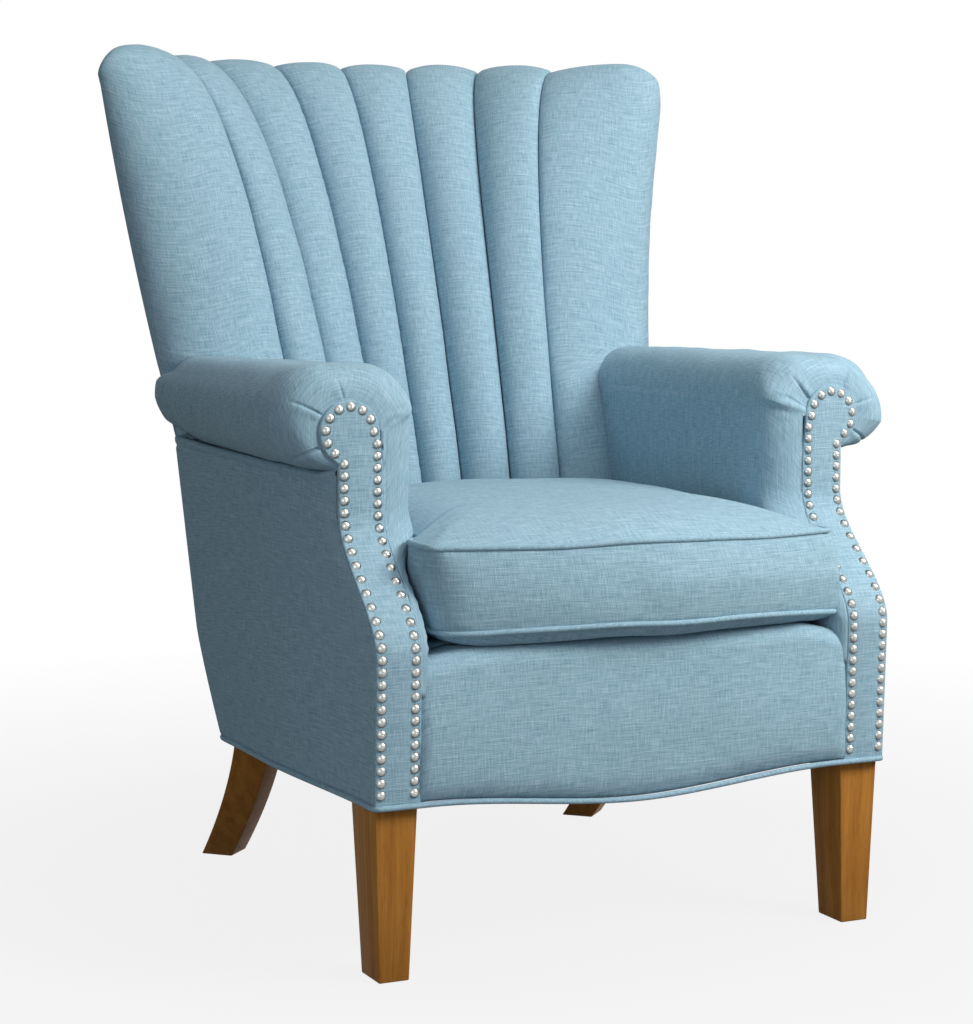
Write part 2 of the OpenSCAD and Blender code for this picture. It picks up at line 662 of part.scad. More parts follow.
function cushion_ring(z, inset, share = 1) = let (
    middle = (cushion_front_y + cushion_rear_y) / 2,
    lean = cushion_lean * (z - seat_h))
    [for (p = mirror_round(cushion_half(inset))) [p[0] * share,
        lerp(middle, p[1] + lean * ease((p[1] - middle) / (cushion_rear_y - middle)), share), z]];

welt_r = welt_d / 2;
welt_in = welt_r + 0.2;
seam_side_in = 2.5;
seam_reach = welt_in + (welt_r + gap) * sqrt(2) + 0.9;

module seat_cushion() {
    low = seat_h - boxing_h;
    under = low - deck_z - gap;
    seam_in = seam_reach + 0.4;
    step = seam_reach - seam_side_in;
    rings = concat(
        [for (s = [0.4, 0.75]) cushion_ring(low - under * (1 - pow(s, 2.6)), seam_in, s)],
        [cushion_ring(low - 0.4, seam_in), cushion_ring(low + step, seam_side_in),
            cushion_ring(lerp(low, seat_h, 0.5), 0.8), cushion_ring(seat_h - step, seam_side_in),
            cushion_ring(seat_h + 0.4, seam_in)],
        [for (s = [0.9, 0.7, 0.45, 0.2]) cushion_ring(seat_h + crown * (1 - pow(s, 2.4)), seam_in, s)]);
    n = len(rings[0]);
    last = len(rings) - 1;
    middle = (cushion_front_y + cushion_rear_y) / 2;
    points = concat([for (ring = rings) each ring],
        [[0, middle, low - under], [0, middle, seat_h + crown]]);
    sides = [for (i = [0:last - 1], j = [0:n - 1]) let (
        a = i * n + j, b = i * n + (j + 1) % n, c = b + n, d = a + n) each [[a, d, c], [a, c, b]]];
    foot = [for (j = [0:n - 1]) [j, (j + 1) % n, n * len(rings)]];
    top = [for (j = [0:n - 1]) [last * n + j, n * len(rings) + 1, last * n + (j + 1) % n]];
    polyhedron(points, concat(sides, foot, top), convexity = 4);
}

module cushion_welt(z) {
    tube(cushion_ring(z, welt_in), welt_r, 6, closed = true);
}

module deck_pad() {
    y0 = border_y + 52;
    z0 = spring_z + 24 + wire_d / 2 + gap;
    half = [for (p = cushion_half(1)) if (p[1] > y0) p];
    translate([0, 0, z0]) linear_extrude(deck_z - gap - z0) polygon(concat(
        [[half[0][0], y0]], half, [for (i = [len(half) - 2:-1:0]) [-half[i][0], half[i][1]]],
        [[-half[0][0], y0]]));
}

function dip(x) = border_dip * (1 - ease(abs(x) / 250));

module front_border() {
    w = facing_inner_x - gap;
    t = 6;
    r = 22;
    top = deck_z + 3;
    z_low = body_z - border_dip - 5;
    arc = [for (a = [180:-15:90]) a];
    intersection() {
        translate([-w, 0, 0]) rotate([90, 0, 90]) linear_extrude(2 * w) polygon(concat(
            [[border_y, z_low]],
            [for (a = arc) [border_y + r + r * cos(a), top - r + r * sin(a)]],
            [[border_y + 51, top], [border_y + 51, top - t]],
            [for (a = flip(arc)) [border_y + r + (r - t) * cos(a), top - r + (r - t) * sin(a)]],
            [[border_y + t, z_low]]));
        translate([0, depth / 2, 0]) rotate([90, 0, 0]) linear_extrude(depth) polygon(concat(
            [for (i = [-16:16]) let (x = w * i / 16) [x, body_z - dip(x)]],
            [[w, top + 10], [-w, top + 10]]));
    }
}

module bottom_welt() {
    r = welt_r;
    z = body_z - r - gap;
    front = [for (i = [0:10]) let (x = facing_inner_x * i / 10)
        [x, border_y + 1.5, z - dip(x)]];
    corner = [[body_w / 2 - 8, front_y - 1, z], [body_w / 2 - 0.8, front_y + 6, z]];
    side = [for (i = [0:7]) let (y = lerp(front_y + 30, side_edge_y(body_z) - 10, i / 7))
        [side_x(y) - 0.5, y, z]];
    rear = [for (u = [3.8:-0.4:0]) let (p = outer(u, body_z)) [p[0] * 0.992, p[1] - 2, z]];
    half = concat(front, corner, side, rear, [[0, outer(0, body_z)[1] - 2, z]]);
    path = concat(half, [for (i = [len(half) - 2:-1:1]) [-half[i][0], half[i][1], half[i][2]]]);
    tube(path, r, 6, closed = true);
}

module dust_cover() {
    z = rail_z - 1.2 - gap;
    y0 = facing_y(rail_z) + 8;
    rear = [for (p = band(-3.2, 3.2, body_z, skin + 4, 20)) p];
    translate([0, 0, z]) linear_extrude(1.2) difference() {
        polygon(concat([[frame_x1, y0], [frame_x1, side_edge_y(body_z)]],
            flip(rear), [[-frame_x1, side_edge_y(body_z)], [-frame_x1, y0]]));
        both_sides() {
            translate([frame_x0 - 1, y0 - 10]) square([80, side_post_y - y0 + 11]);
            translate([block_x0 - 1, block_y0 - 1]) square([120, block_d + 2]);
        }
    }
}

// What is drawn

color(walnut) on_side(1) front_leg();  // front_left_leg
color(walnut) on_side(-1) front_leg();  // front_right_leg
color(walnut) on_side(1) rear_leg();  // rear_left_leg
color(walnut) on_side(-1) rear_leg();  // rear_right_leg
color(steel) leg_bolts();
color(beech) on_side(1) drilled_arm_post();  // left_arm_post
color(beech) on_side(-1) drilled_arm_post();  // right_arm_post
color(beech) on_side(1) arm_rail();  // left_arm_rail
color(beech) on_side(-1) arm_rail();  // right_arm_rail
color(beech) on_side(1) arm_slat();  // left_arm_slat
color(beech) on_side(-1) arm_slat();  // right_arm_slat
color(beech) on_side(1) back_post();  // left_back_post
color(beech) on_side(-1) back_post();  // right_back_post
color(beech) front_rail();
color(beech) on_side(1) side_rail();  // left_side_rail
color(beech) on_side(-1) side_rail();  // right_side_rail
color(beech) rear_rail();
color(beech) corner_blocks();
color(beech) back_slat();
color(beech) back_top_rail();
color(beech) on_side(1) wing_stile();  // left_wing_stile
color(beech) on_side(-1) wing_stile();  // right_wing_stile
color(steel) seat_springs();
color(steel) spring_clips();
color(burlap) deck_pad();
color(cambric) dust_cover();
color(burlap) back_liner();
color(linen) on_side(-1) channel(2);  // back_channel_1
color(linen) on_side(-1) channel(1);  // back_channel_2
color(linen) on_side(-1) channel(0);  // back_channel_3
color(linen) on_side(1) channel(0);  // back_channel_4
color(linen) on_side(1) channel(1);  // back_channel_5
color(linen) on_side(1) channel(2);  // back_channel_6
color(linen) on_side(1) wing_pad();  // left_wing_pad
color(linen) on_side(-1) wing_pad();  // right_wing_pad
color(linen) on_side(1) arm_pad();  // left_arm_pad
color(linen) on_side(-1) arm_pad();  // right_arm_pad
color(linen_dark) on_side(1) outside_arm();  // left_outside_arm
color(linen_dark) on_side(-1) outside_arm();  // right_outside_arm
color(linen_dark) outside_back();
color(linen) on_side(1) arm_facing();  // left_arm_facing
color(linen) on_side(-1) arm_facing();  // right_arm_facing
color(nickel) on_side(1) facing_nails();  // left_facing_nails
color(nickel) on_side(-1) facing_nails();  // right_facing_nails
color(linen) front_border();
color(linen_dark) bottom_welt();
color(linen) seat_cushion();
color(linen_dark) cushion_welt(seat_h);  // cushion_top_welt
color(linen_dark) cushion_welt(seat_h - boxing_h);  // cushion_bottom_welt
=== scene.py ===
"""Upholstered occasional chair with a channelled barrel back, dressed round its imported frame.

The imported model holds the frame, springs, bolts and nails, and says where each cover lies. This
script models the covers, the cushion and the show wood, and gives every piece its finish.
Metres, Z up. The chair faces -Y. Left and right are the sitter's, and left is +X.
"""

from __future__ import annotations

import json
import logging
import math
from dataclasses import dataclass, replace
from enum import Enum
from typing import Callable, Iterable, Sequence

import bmesh
import bpy
import numpy as np
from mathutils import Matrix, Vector

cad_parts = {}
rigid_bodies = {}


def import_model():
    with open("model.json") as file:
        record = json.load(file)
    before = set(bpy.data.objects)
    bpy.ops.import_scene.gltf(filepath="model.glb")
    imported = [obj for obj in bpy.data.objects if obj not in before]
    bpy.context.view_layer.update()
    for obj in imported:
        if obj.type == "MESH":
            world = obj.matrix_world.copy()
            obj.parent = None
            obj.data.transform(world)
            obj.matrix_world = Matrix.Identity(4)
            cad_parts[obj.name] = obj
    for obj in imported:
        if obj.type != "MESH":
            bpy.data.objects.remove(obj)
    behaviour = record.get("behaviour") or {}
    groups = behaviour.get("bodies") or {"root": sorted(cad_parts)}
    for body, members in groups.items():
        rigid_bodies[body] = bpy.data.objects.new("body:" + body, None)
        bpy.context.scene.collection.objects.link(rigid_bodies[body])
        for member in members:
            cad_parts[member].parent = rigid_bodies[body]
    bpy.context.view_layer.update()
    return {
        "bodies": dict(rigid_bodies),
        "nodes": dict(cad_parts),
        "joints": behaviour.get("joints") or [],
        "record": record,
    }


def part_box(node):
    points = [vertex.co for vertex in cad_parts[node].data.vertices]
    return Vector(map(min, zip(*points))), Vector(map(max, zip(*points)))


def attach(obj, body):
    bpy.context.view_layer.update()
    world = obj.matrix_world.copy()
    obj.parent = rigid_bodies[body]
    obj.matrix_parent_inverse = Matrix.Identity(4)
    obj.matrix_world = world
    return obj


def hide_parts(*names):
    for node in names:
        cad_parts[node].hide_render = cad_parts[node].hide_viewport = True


LOG = logging.getLogger("chair")
MM = 0.001


class Side(Enum):
    """One half of the chair, as its sitter names it."""

    LEFT = 1
    RIGHT = -1

    @property
    def word(self) -> str:
        """The side's name as the nodes use it."""
        return self.name.lower()


class Body(Enum):
    """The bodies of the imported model."""

    CHAIR = "chair"
    CUSHION = "cushion"


class Caps(Enum):
    """How the ends of a skin are closed."""

    OPEN = 0
    FLAT = 1
    ZIP = 2


def lerp(a, b, t):
    """Value a share t of the way from a to b."""
    return a + (b - a) * t


def ease(t):
    """Smooth step of t, held between 0 and 1."""
    c = np.clip(t, 0.0, 1.0)
    return c * c * (3 - 2 * c)


def unit(v: np.ndarray) -> np.ndarray:
    """Vectors of length one along the last axis."""
    return v / np.maximum(np.linalg.norm(v, axis=-1, keepdims=True), 1e-12)


def bezier(p: Sequence[float], t: float) -> float:
    """Cubic Bezier through four control values."""
    return (p[0] * (1 - t) ** 3 + 3 * p[1] * t * (1 - t) ** 2
            + 3 * p[2] * t * t * (1 - t) + p[3] * t ** 3)


def round_in(distance, radius):
    """Share by which a round edge falls away, 1 at the edge and 0 a radius from it."""
    d = np.clip(1 - distance / radius, 0.0, 1.0)
    return 1 - np.sqrt(1 - d * d)


def arc_length(line: np.ndarray) -> np.ndarray:
    """Length along a line up to each of its points."""
    return np.concatenate([[0], np.cumsum(np.linalg.norm(np.diff(line, axis=0), axis=1))])


def spans(*parts: tuple[float, float, int]) -> np.ndarray:
    """Values over spans that follow each other, each with its start, its end and its count."""
    return np.concatenate([np.linspace(a, b, count, endpoint=k == len(parts) - 1)
                           for k, (a, b, count) in enumerate(parts)])


def cosine_fan(count: int) -> np.ndarray:
    """Shares from 0 to 1, close together at both ends."""
    return (1 - np.cos(np.linspace(0, math.pi, count))) / 2


def soft_mask(count: int, first: int, last: int, blur: int) -> np.ndarray:
    """One from the first column up to the last, zero in the others, with blurred ends."""
    mask = np.zeros(count)
    mask[first:last] = 1.0
    return np.convolve(mask, np.ones(blur) / blur, mode="same")


def catmull_rom(knots: Iterable[np.ndarray], f: float) -> np.ndarray:
    """Place a share f of the way from the second of four knots to the third."""
    p, q, r, s = knots
    return q + 0.5 * f * (r - p + f * (2 * p - 5 * q + 4 * r - s + f * (3 * (q - r) + s - p)))


class Ripple:
    """Smooth unevenness that is the same in each run: a sum of plane waves."""

    def __init__(self, seed: int, wavelength: float, waves: int = 20) -> None:
        """Draws the waves.

        Args:
            seed: start of the random draw.
            wavelength: mean length of the waves, in metres.
            waves: how many are added.
        """
        rng = np.random.default_rng(seed)
        self.k = unit(rng.normal(size=(waves, 3))) * (
            2 * math.pi / wavelength * rng.uniform(0.6, 1.5, (waves, 1)))
        self.phase = rng.uniform(0, 2 * math.pi, waves)

    def __call__(self, points: np.ndarray) -> np.ndarray:
        """Value at each point, mostly from -1 to 1."""
        return np.cos(points @ self.k.T + self.phase).sum(-1) / math.sqrt(len(self.phase) * 2)


def unevenness(points: np.ndarray, *waves: tuple[int, float, float]) -> np.ndarray:
    """Sum of ripples, each given as its seed, its wavelength in metres and its height in mm."""
    return sum(Ripple(seed, length)(points) * height * MM for seed, length, height in waves)


@dataclass(frozen=True)
class ChairSizes:
    """Driving sizes of the chair, in metres, the same as the solids have."""

    back_h: float = 1.022
    depth: float = 0.928
    arm_span: float = 0.764
    wing_span: float = 0.788
    body_w: float = 0.632
    body_z: float = 0.193
    side_bow: float = 0.015
    skin: float = 0.005
    border_dip: float = 0.017
    foot_tuck: float = 0.045
    welt_d: float = 0.006
    arm_h: float = 0.650
    roll_r: float = 0.057
    roll_taper: float = 0.027
    roll_fall: float = 0.010
    seat_w: float = 0.440
    arm_toe: float = 0.020
    facing_w: float = 0.053
    head_r: float = 0.035
    facing_sweep: float = 0.102
    seat_h: float = 0.461
    boxing_h: float = 0.090
    crown: float = 0.036
    cushion_w: float = 0.500
    front_bow: float = 0.034
    channel_swell: float = 0.025
    pad: float = 0.012
    top_roll: float = 0.022
    rake_run: float = 0.265
    leg_top_w: float = 0.049
    leg_top_d: float = 0.067
    leg_foot_w: float = 0.035
    leg_foot_d: float = 0.049
    rear_leg_w: float = 0.042
    rear_sweep: float = 0.145


@dataclass(frozen=True)
class ChairLines:
    """The curves that neighbouring covers share, worked out from the sizes."""

    size: ChairSizes = ChairSizes()
    seam_seat_x: tuple[float, ...] = (0.0, 0.056, 0.114, 0.174, 0.261)
    seam_top_x: tuple[float, ...] = (0.0, 0.099, 0.206, 0.278, 0.394)
    seam_seat_y: tuple[float, ...] = (0.296, 0.298, 0.325, 0.347, 0.336)
    seam_mid_y: tuple[float, ...] = (0.210, 0.210, 0.238, 0.255, 0.300)
    seam_high_y: tuple[float, ...] = (0.085, 0.082, 0.105, 0.175, 0.235)
    low_t: float = -0.13
    tail: float = 0.030
    wing_crown: float = 0.024
    tuck_h: float = 0.120

    @property
    def front_y(self) -> float:
        """Front of the body at its foot."""
        return -self.size.depth / 2 + 0.027

    @property
    def rear_y(self) -> float:
        """Rear of the body at its top."""
        return self.size.depth / 2 - 0.008

    @property
    def rim_z(self) -> float:
        """Height of the top edge of the outside back."""
        return self.size.back_h - 0.037

    @property
    def crest_z(self) -> float:
        """Height of the seams where they cross the top."""
        return self.rim_z + self.size.top_roll

    @property
    def neck_z(self) -> float:
        """Height of the tuck under the arm roll."""
        return self.size.arm_h - 2 * self.size.roll_r

    @property
    def arm_front_y(self) -> float:
        """Front of the arm roll."""
        return self.front_y + self.size.facing_sweep - 0.006

    @property
    def facing_inner_x(self) -> float:
        """Inner edge of the facing."""
        return self.size.body_w / 2 - self.size.facing_w

    @property
    def head(self) -> tuple[float, float]:
        """Centre of the round head of the facing, across and up."""
        return self.facing_inner_x + self.size.head_r + 0.004, self.neck_z + 0.044

    @property
    def border_y(self) -> float:
        """Front of the border at the foot of the body."""
        return float(self.facing_y(self.size.body_z)) - 0.001

    @property
    def arm_foot_z(self) -> float:
        """Height of the inside arm's lower end, below the deck."""
        return self.deck_z - 0.05

    def facing_in(self, z):
        """Inner edge of the facing at a height, which swings out below the head's middle."""
        x, middle = self.head
        return lerp(self.facing_inner_x, x - self.size.head_r, ease((z - middle + 0.05) / 0.05))

    @property
    def arm_rear_y(self) -> float:
        """Nominal rear end of the arm."""
        return float(self.rear_line(self.size.arm_h)) - 0.170

    def roll(self, y) -> tuple:
        """Centre of the arm roll across and up, and its radius, at a depth."""
        run = np.clip((y - self.arm_front_y) / (self.arm_rear_y - self.arm_front_y), 0.0, 1.0)
        fall, front_x = self.size.roll_fall / 2, self.size.arm_span / 2 - self.size.roll_r
        radius = self.size.roll_r - run * fall
        return front_x - run * (self.size.roll_taper - fall), self.neck_z + radius, radius

    def tuck_z(self, y):
        """Height at which the roll meets the outside arm, at a depth."""
        x, z, radius = self.roll(y)
        return z - np.sqrt(radius ** 2 - (self.size.arm_span / 2 - self.size.roll_r - x) ** 2)

    @property
    def deck_z(self) -> float:
        """Height of the deck under the cushion."""
        return self.size.seat_h - self.size.boxing_h - 0.014

    def rise(self, z):
        """Share of the way up from the underside of the body to the rim."""
        return np.clip((z - self.size.body_z) / (self.rim_z - self.size.body_z), 0.0, 1.0)

    def rear_line(self, z):
        """Rear of the body at a height."""
        tuck = np.clip((self.size.body_z + self.tuck_h - z) / self.tuck_h, 0.0, 1.0) ** 1.3
        return self.rear_y - self.size.rake_run * (1 - self.rise(z)) - self.size.foot_tuck * tuck

    def side_edge_y(self, z):
        """Where the outside back ends at the side."""
        share = np.clip((z - self.size.arm_h + 0.03) / (self.rim_z - self.size.arm_h + 0.03), 0, 1)
        return self.rear_line(z) - lerp(0.140, 0.190, share ** 2)

    def side_x(self, y):
        """Outside of the arm at a depth."""
        return self.size.body_w / 2 + self.size.side_bow * ease((y - self.front_y) / 0.290)

    def wing_x(self, z):
        """Outside of the wing at a height."""
        share = np.clip((z - self.neck_z) / (self.rim_z - self.neck_z), 0.0, 1.0)
        foot = self.size.body_w / 2 + self.size.side_bow
        return lerp(foot, self.size.wing_span / 2 - 0.002, share)

    def outer_line(self, k: int, z: float) -> np.ndarray:
        """Place on one of the five upright lines of the outside back.

        Args:
            k: 0 in the middle to 4 at the side edge.
            z: height.
        """
        rise = self.rise(z)
        x = (0.0, 0.107, 0.214, lerp(0.292, 0.295, rise), self.wing_x(z) - 0.002)[k]
        drop = lerp((0, 0, 0.015, 0.070, 0)[k], (0, 0, 0.008, 0.095, 0)[k], rise)
        y = self.side_edge_y(z) if k == 4 else self.rear_line(z) - drop
        return np.array((x, y, z), float)

    def outer(self, u: float, z: float) -> np.ndarray:
        """Place on the outside back, from u = -4 at the right edge to 4 at the left edge."""
        f, i = math.modf(min(abs(u), 3.9999))
        i = int(i)
        knots = (self.outer_line(min(4, max(0, n)), z) for n in (i - 1, i, i + 1, i + 2))
        return catmull_rom(knots, f) * np.array((math.copysign(1.0, u), 1.0, 1.0))

    def seam_z(self, k: int, t: float) -> float:
        """Height of seam k between the seat and the top."""
        top = self.rim_z if k == 4 else self.crest_z
        low = self.size.seat_h + 0.007
        return bezier((low, lerp(low, self.crest_z, 0.46), top, top), t)

    def seam(self, k: int, t: float) -> np.ndarray:
        """Place on seam k.

        Args:
            k: 0 in the middle of the back, 3 at the wing and 4 at the wing's edge.
            t: 0 at the seat, 1 at the crest, 2 at the rim behind it, and on down the back.
        """
        if t > 2:
            return self.outer_line(k, self.rim_z - self.tail * (t - 2))
        if t > 1:
            crest, rim = self.seam(k, 1.0), self.outer_line(k, self.rim_z)
            a = math.pi / 2 * (t - 1)
            share = np.array((math.sin(a), math.sin(a), 1 - math.cos(a)))
            return crest + (rim - crest) * share
        z = self.seam_z(k, t)
        if k == 4:
            edge = np.clip((z - self.size.arm_h + 0.058) / 0.034, 0.0, 1.0)
            return np.array((lerp(self.seam_seat_x[4], self.wing_x(z), edge),
                             self.side_edge_y(z) - self.size.top_roll, z), float)
        x = lerp(self.seam_seat_x[k], self.seam_top_x[k], 0.52 * t + 0.48 * t ** 3)
        crest_y = self.outer_line(k, self.rim_z)[1] - self.size.top_roll * (1, 1, 0.95, 0.7)[k]
        y = bezier((self.rear_y - self.seam_seat_y[k], self.rear_y - self.seam_mid_y[k],
                    self.rear_y - self.seam_high_y[k], crest_y), t)
        return np.array((x, y, z), float)

    def between(self, k: int, t: float, s) -> np.ndarray:
        """Places a share s of the way from seam k to the next."""
        a, b = self.seam(k, t), self.seam(k + 1, t)
        share = np.atleast_1d(s)[:, None]
        places = a + (b - a) * share
        if k == 3 and t <= 2:
            s = share[:, 0]
            crown = self.wing_crown * float(ease((t - 0.6) / 0.4))
            places[:, 2] = lerp(a[2], b[2], s ** 8) + crown * s ** 1.5 * (1 - s)
        return places

    def facing_out(self, k: int, t: float) -> np.ndarray:
        """Direction in which the panel from seam k to the next faces."""
        step = 0.01
        along = (self.between(k, t + step, 0.5) - self.between(k, t - step, 0.5))[0]
        return unit(np.cross(self.seam(k + 1, t) - self.seam(k, t), along))

    def seam_out(self, k: int, t: float) -> np.ndarray:
        """Direction out of the back at seam k, the same for both of its neighbours."""
        n = self.facing_out(min(k, 3), t)
        if k == 0:
            return unit(n * np.array((0.0, 1.0, 1.0)))
        return n if k == 4 else unit(n + self.facing_out(k - 1, t))

    def out_at(self, k: int, t: float, s) -> np.ndarray:
        """Direction out of the back between seam k and the next."""
        a, b = self.seam_out(k, t), self.seam_out(k + 1, t)
        return unit(a + (b - a) * np.atleast_1d(s)[:, None])

    def swell_at(self, t: float) -> float:
        """Swell of a channel along its length."""
        if t > 2:
            return lerp(0.008, 0.001, (t - 2) / 0.33)
        if t > 1:
            return lerp(0.011, 0.008, t - 1)
        return lerp(self.size.channel_swell, 0.011, float(np.clip(t, 0, 1)) ** 4)

    def facing_y(self, z):
        """Front of the arm facing at a height: upright below, swept back, upright above."""
        foot = self.size.body_z
        return (self.front_y - 0.006 * np.clip((z - foot) / 0.150, 0.0, 1.0)
                + self.size.facing_sweep * ease((z - foot - 0.159) / 0.142))

    def arm_in(self, y):
        """Inner face of the arm at a depth."""
        share = np.clip((y - self.front_y - 0.130) / 0.420, 0.0, 1.0)
        return self.size.seat_w / 2 + self.size.arm_toe * share

    def wing_front_y(self, x: float, z: float) -> float:
        """Front of the wing pad, where the arm ends."""
        low, high = -0.2, 1.0
        for _ in range(15):
            t = (low + high) / 2
            low, high = (t, high) if self.seam_z(3, t) < z else (low, t)
        a, b = self.seam(3, t), self.seam(4, t)
        share = float(np.clip((x - a[0]) / (b[0] - a[0]), 0.0, 1.0))
        return lerp(a[1], b[1], share) - self.size.channel_swell - 0.004

    def border_dip(self, x):
        """How far the bottom edge hangs down at a distance from the middle."""
        return self.size.border_dip * (1 - ease(np.abs(x) / 0.250))


@dataclass
class Grid:
    """Rows of points that a skin is drawn over.

    Seen from outside, a row runs to the right and the rows follow each other upwards.
    """

    points: np.ndarray
    closed: bool = True

    def normals(self) -> np.ndarray:
        """Outward direction at each point."""
        along = np.gradient(self.points, axis=0)
        if self.closed:
            across = np.roll(self.points, -1, axis=1) - np.roll(self.points, 1, axis=1)
        else:
            across = np.gradient(self.points, axis=1)
        return unit(np.cross(across, along))

    def push(self, amount: np.ndarray) -> "Grid":
        """A copy with each point moved outwards.

        Args:
            amount: distance for each point, rows by columns.
        """
        return Grid(self.points + self.normals() * amount[..., None], self.closed)

    def grain(self, centre: int) -> np.ndarray:
        """Cloth coordinates in metres: across from a centre column, and along each column."""
        p = self.points
        if self.closed:
            p = np.concatenate([p, p[:, :1]], axis=1)
        across = np.zeros(p.shape[:2])
        across[:, 1:] = np.cumsum(np.linalg.norm(np.diff(p, axis=1), axis=2), axis=1)
        across -= across[:, centre:centre + 1]
        along = np.zeros(p.shape[:2])
        along[1:] = np.cumsum(np.linalg.norm(np.diff(p, axis=0), axis=2), axis=0)
        return np.stack([across, along], axis=2)

    def ends(self, caps: Caps, side: Side) -> list[list[int]]:
        """Faces that close the first and the last row.

        Args:
            caps: FLAT draws one face, ZIP joins each point to the one that faces it in its row.
            side: RIGHT turns the faces over.
        """
        rows, cols = self.points.shape[:2]
        last = (rows - 1) * cols
        if caps is Caps.OPEN:
            return []
        if caps is Caps.FLAT:
            faces = [list(range(cols))[::-1], list(range(last, last + cols))]
        else:
            strip = [[j, j + 1, cols - 2 - j, cols - 1 - j] for j in range(cols // 2 - 1)]
            faces = [f[::-1] for f in strip] + [[v + last for v in f] for f in strip]
        return faces if side is Side.LEFT else [f[::-1] for f in faces]

    def skin(self, name: str, centre: int = 0, side: Side = Side.LEFT, caps: Caps = Caps.FLAT,
             turn: float = 0.0) -> bpy.types.Object:
        """Draws the skin as an object.

        Args:
            name: the piece's name.
            centre: column from which the cloth coordinates run across.
            side: RIGHT mirrors the piece.
            caps: how the first and last rows are closed.
            turn: angle by which the cloth lies turned, in radians.

        Returns:
            The new object, smooth shaded, with its cloth coordinates.
        """
        rows, cols = self.points.shape[:2]
        points = self.points * np.array((side.value, 1.0, 1.0))
        spans = cols if self.closed else cols - 1
        i, j = np.meshgrid(np.arange(rows - 1), np.arange(spans), indexing="ij")
        right = (j + 1) % cols
        quads = np.stack([i * cols + j, i * cols + right, (i + 1) * cols + right,
                          (i + 1) * cols + j], axis=2).reshape(-1, 4)
        uv = self.grain(centre)
        corners = np.stack([uv[i, j], uv[i, j + 1], uv[i + 1, j + 1], uv[i + 1, j]], axis=2)
        corners = corners.reshape(-1, 4, 2)
        if turn:
            c, s = math.cos(turn), math.sin(turn)
            corners = corners @ np.array(((c, s), (-s, c)))
        if side is Side.RIGHT:
            quads, corners = quads[:, ::-1], corners[:, ::-1]
        faces = quads.tolist() + self.ends(caps, side)
        mesh = bpy.data.meshes.new(name)
        mesh.from_pydata(points.reshape(-1, 3).tolist(), [], faces)
        layer = mesh.uv_layers.new(name="UVMap")
        flat = np.zeros((len(mesh.loops), 2), np.float32)
        flat[:len(quads) * 4] = corners.reshape(-1, 2)
        layer.data.foreach_set("uv", flat.ravel())
        mesh.shade_smooth()
        return add_object(name, mesh)


def add_object(name: str, data: bpy.types.ID) -> bpy.types.Object:
    """Adds an object to the scene."""
    made = bpy.data.objects.new(name, data)
    bpy.context.scene.collection.objects.link(made)
    return made


def lay_upright(piece: bpy.types.Object, depth: float) -> None:
    """Lays the cloth of a piece that faces the front with its threads upright.

    Args:
        piece: the object.
        depth: share of the depth that the cloth's length counts with its height.
    """
    mesh = piece.data
    index = np.zeros(len(mesh.loops), int)
    mesh.loops.foreach_get("vertex_index", index)
    co = np.zeros(len(mesh.vertices) * 3)
    mesh.vertices.foreach_get("co", co)
    co = co.reshape(-1, 3)[index]
    flat = np.stack([co[:, 0], co[:, 2] + depth * co[:, 1]], axis=1)
    mesh.uv_layers[0].data.foreach_set("uv", flat.astype(np.float32).ravel())


def resample(path: np.ndarray, count: int) -> np.ndarray:
    """Evenly spaced places on a smooth closed line.

    Args:
        path: the line's points, without a repeat of the first.
        count: how many places are wanted.

    Returns:
        The places, starting at the first point.
    """
    n = len(path)
    fine = [catmull_rom((path[(i + d) % n] for d in (-1, 0, 1, 2)), f)
            for i in range(n) for f in np.linspace(0, 1, 8, endpoint=False)]
    line = np.array(fine + [fine[0]])
    length = arc_length(line)
    at = np.linspace(0, length[-1], count, endpoint=False)
    return np.stack([np.interp(at, length, line[:, d]) for d in range(line.shape[1])], axis=1)


def weld(piece: bpy.types.Object, distance: float = 0.00002) -> None:
    """Merges the points of a piece that lie on each other."""
    mesh = bmesh.new()
    mesh.from_mesh(piece.data)
    bmesh.ops.remove_doubles(mesh, verts=mesh.verts, dist=distance)
    mesh.to_mesh(piece.data)
    mesh.free()


def welt_cord(path: np.ndarray, count: int, width: float, name: str) -> bpy.types.Object:
    """A round welt along a closed path, in cloth that is cut on the bias.

    Args:
        path: points of the middle of the welt, without a repeat of the first.
        count: how many sections the welt has.
        width: of the welt.
        name: the piece's name.
    """
    line = resample(path, count)
    forward = unit(np.roll(line, -1, axis=0) - np.roll(line, 1, axis=0))
    line, forward = (np.concatenate([v, v[:1]])[:, None] for v in (line, forward))
    across = unit(np.cross(forward, np.array((0.0, 0.0, 1.0))))
    up = np.cross(across, forward)
    angle = np.linspace(0, 2 * math.pi, 12, endpoint=False)[None, :, None]
    ring = line + (width / 2 + 0.0002) * (np.cos(angle) * across - np.sin(angle) * up)
    piece = Grid(ring[:, ::-1]).skin(name, 3, caps=Caps.OPEN, turn=math.pi / 4)
    weld(piece)
    return piece


@dataclass(frozen=True)
class Tone:
    """A colour as linear red, green and blue."""

    red: float
    green: float
    blue: float

    def rgba(self, share: float = 1.0) -> tuple[float, float, float, float]:
        """The colour with an alpha of one, made lighter or darker by a share."""
        return self.red * share, self.green * share, self.blue * share, 1.0


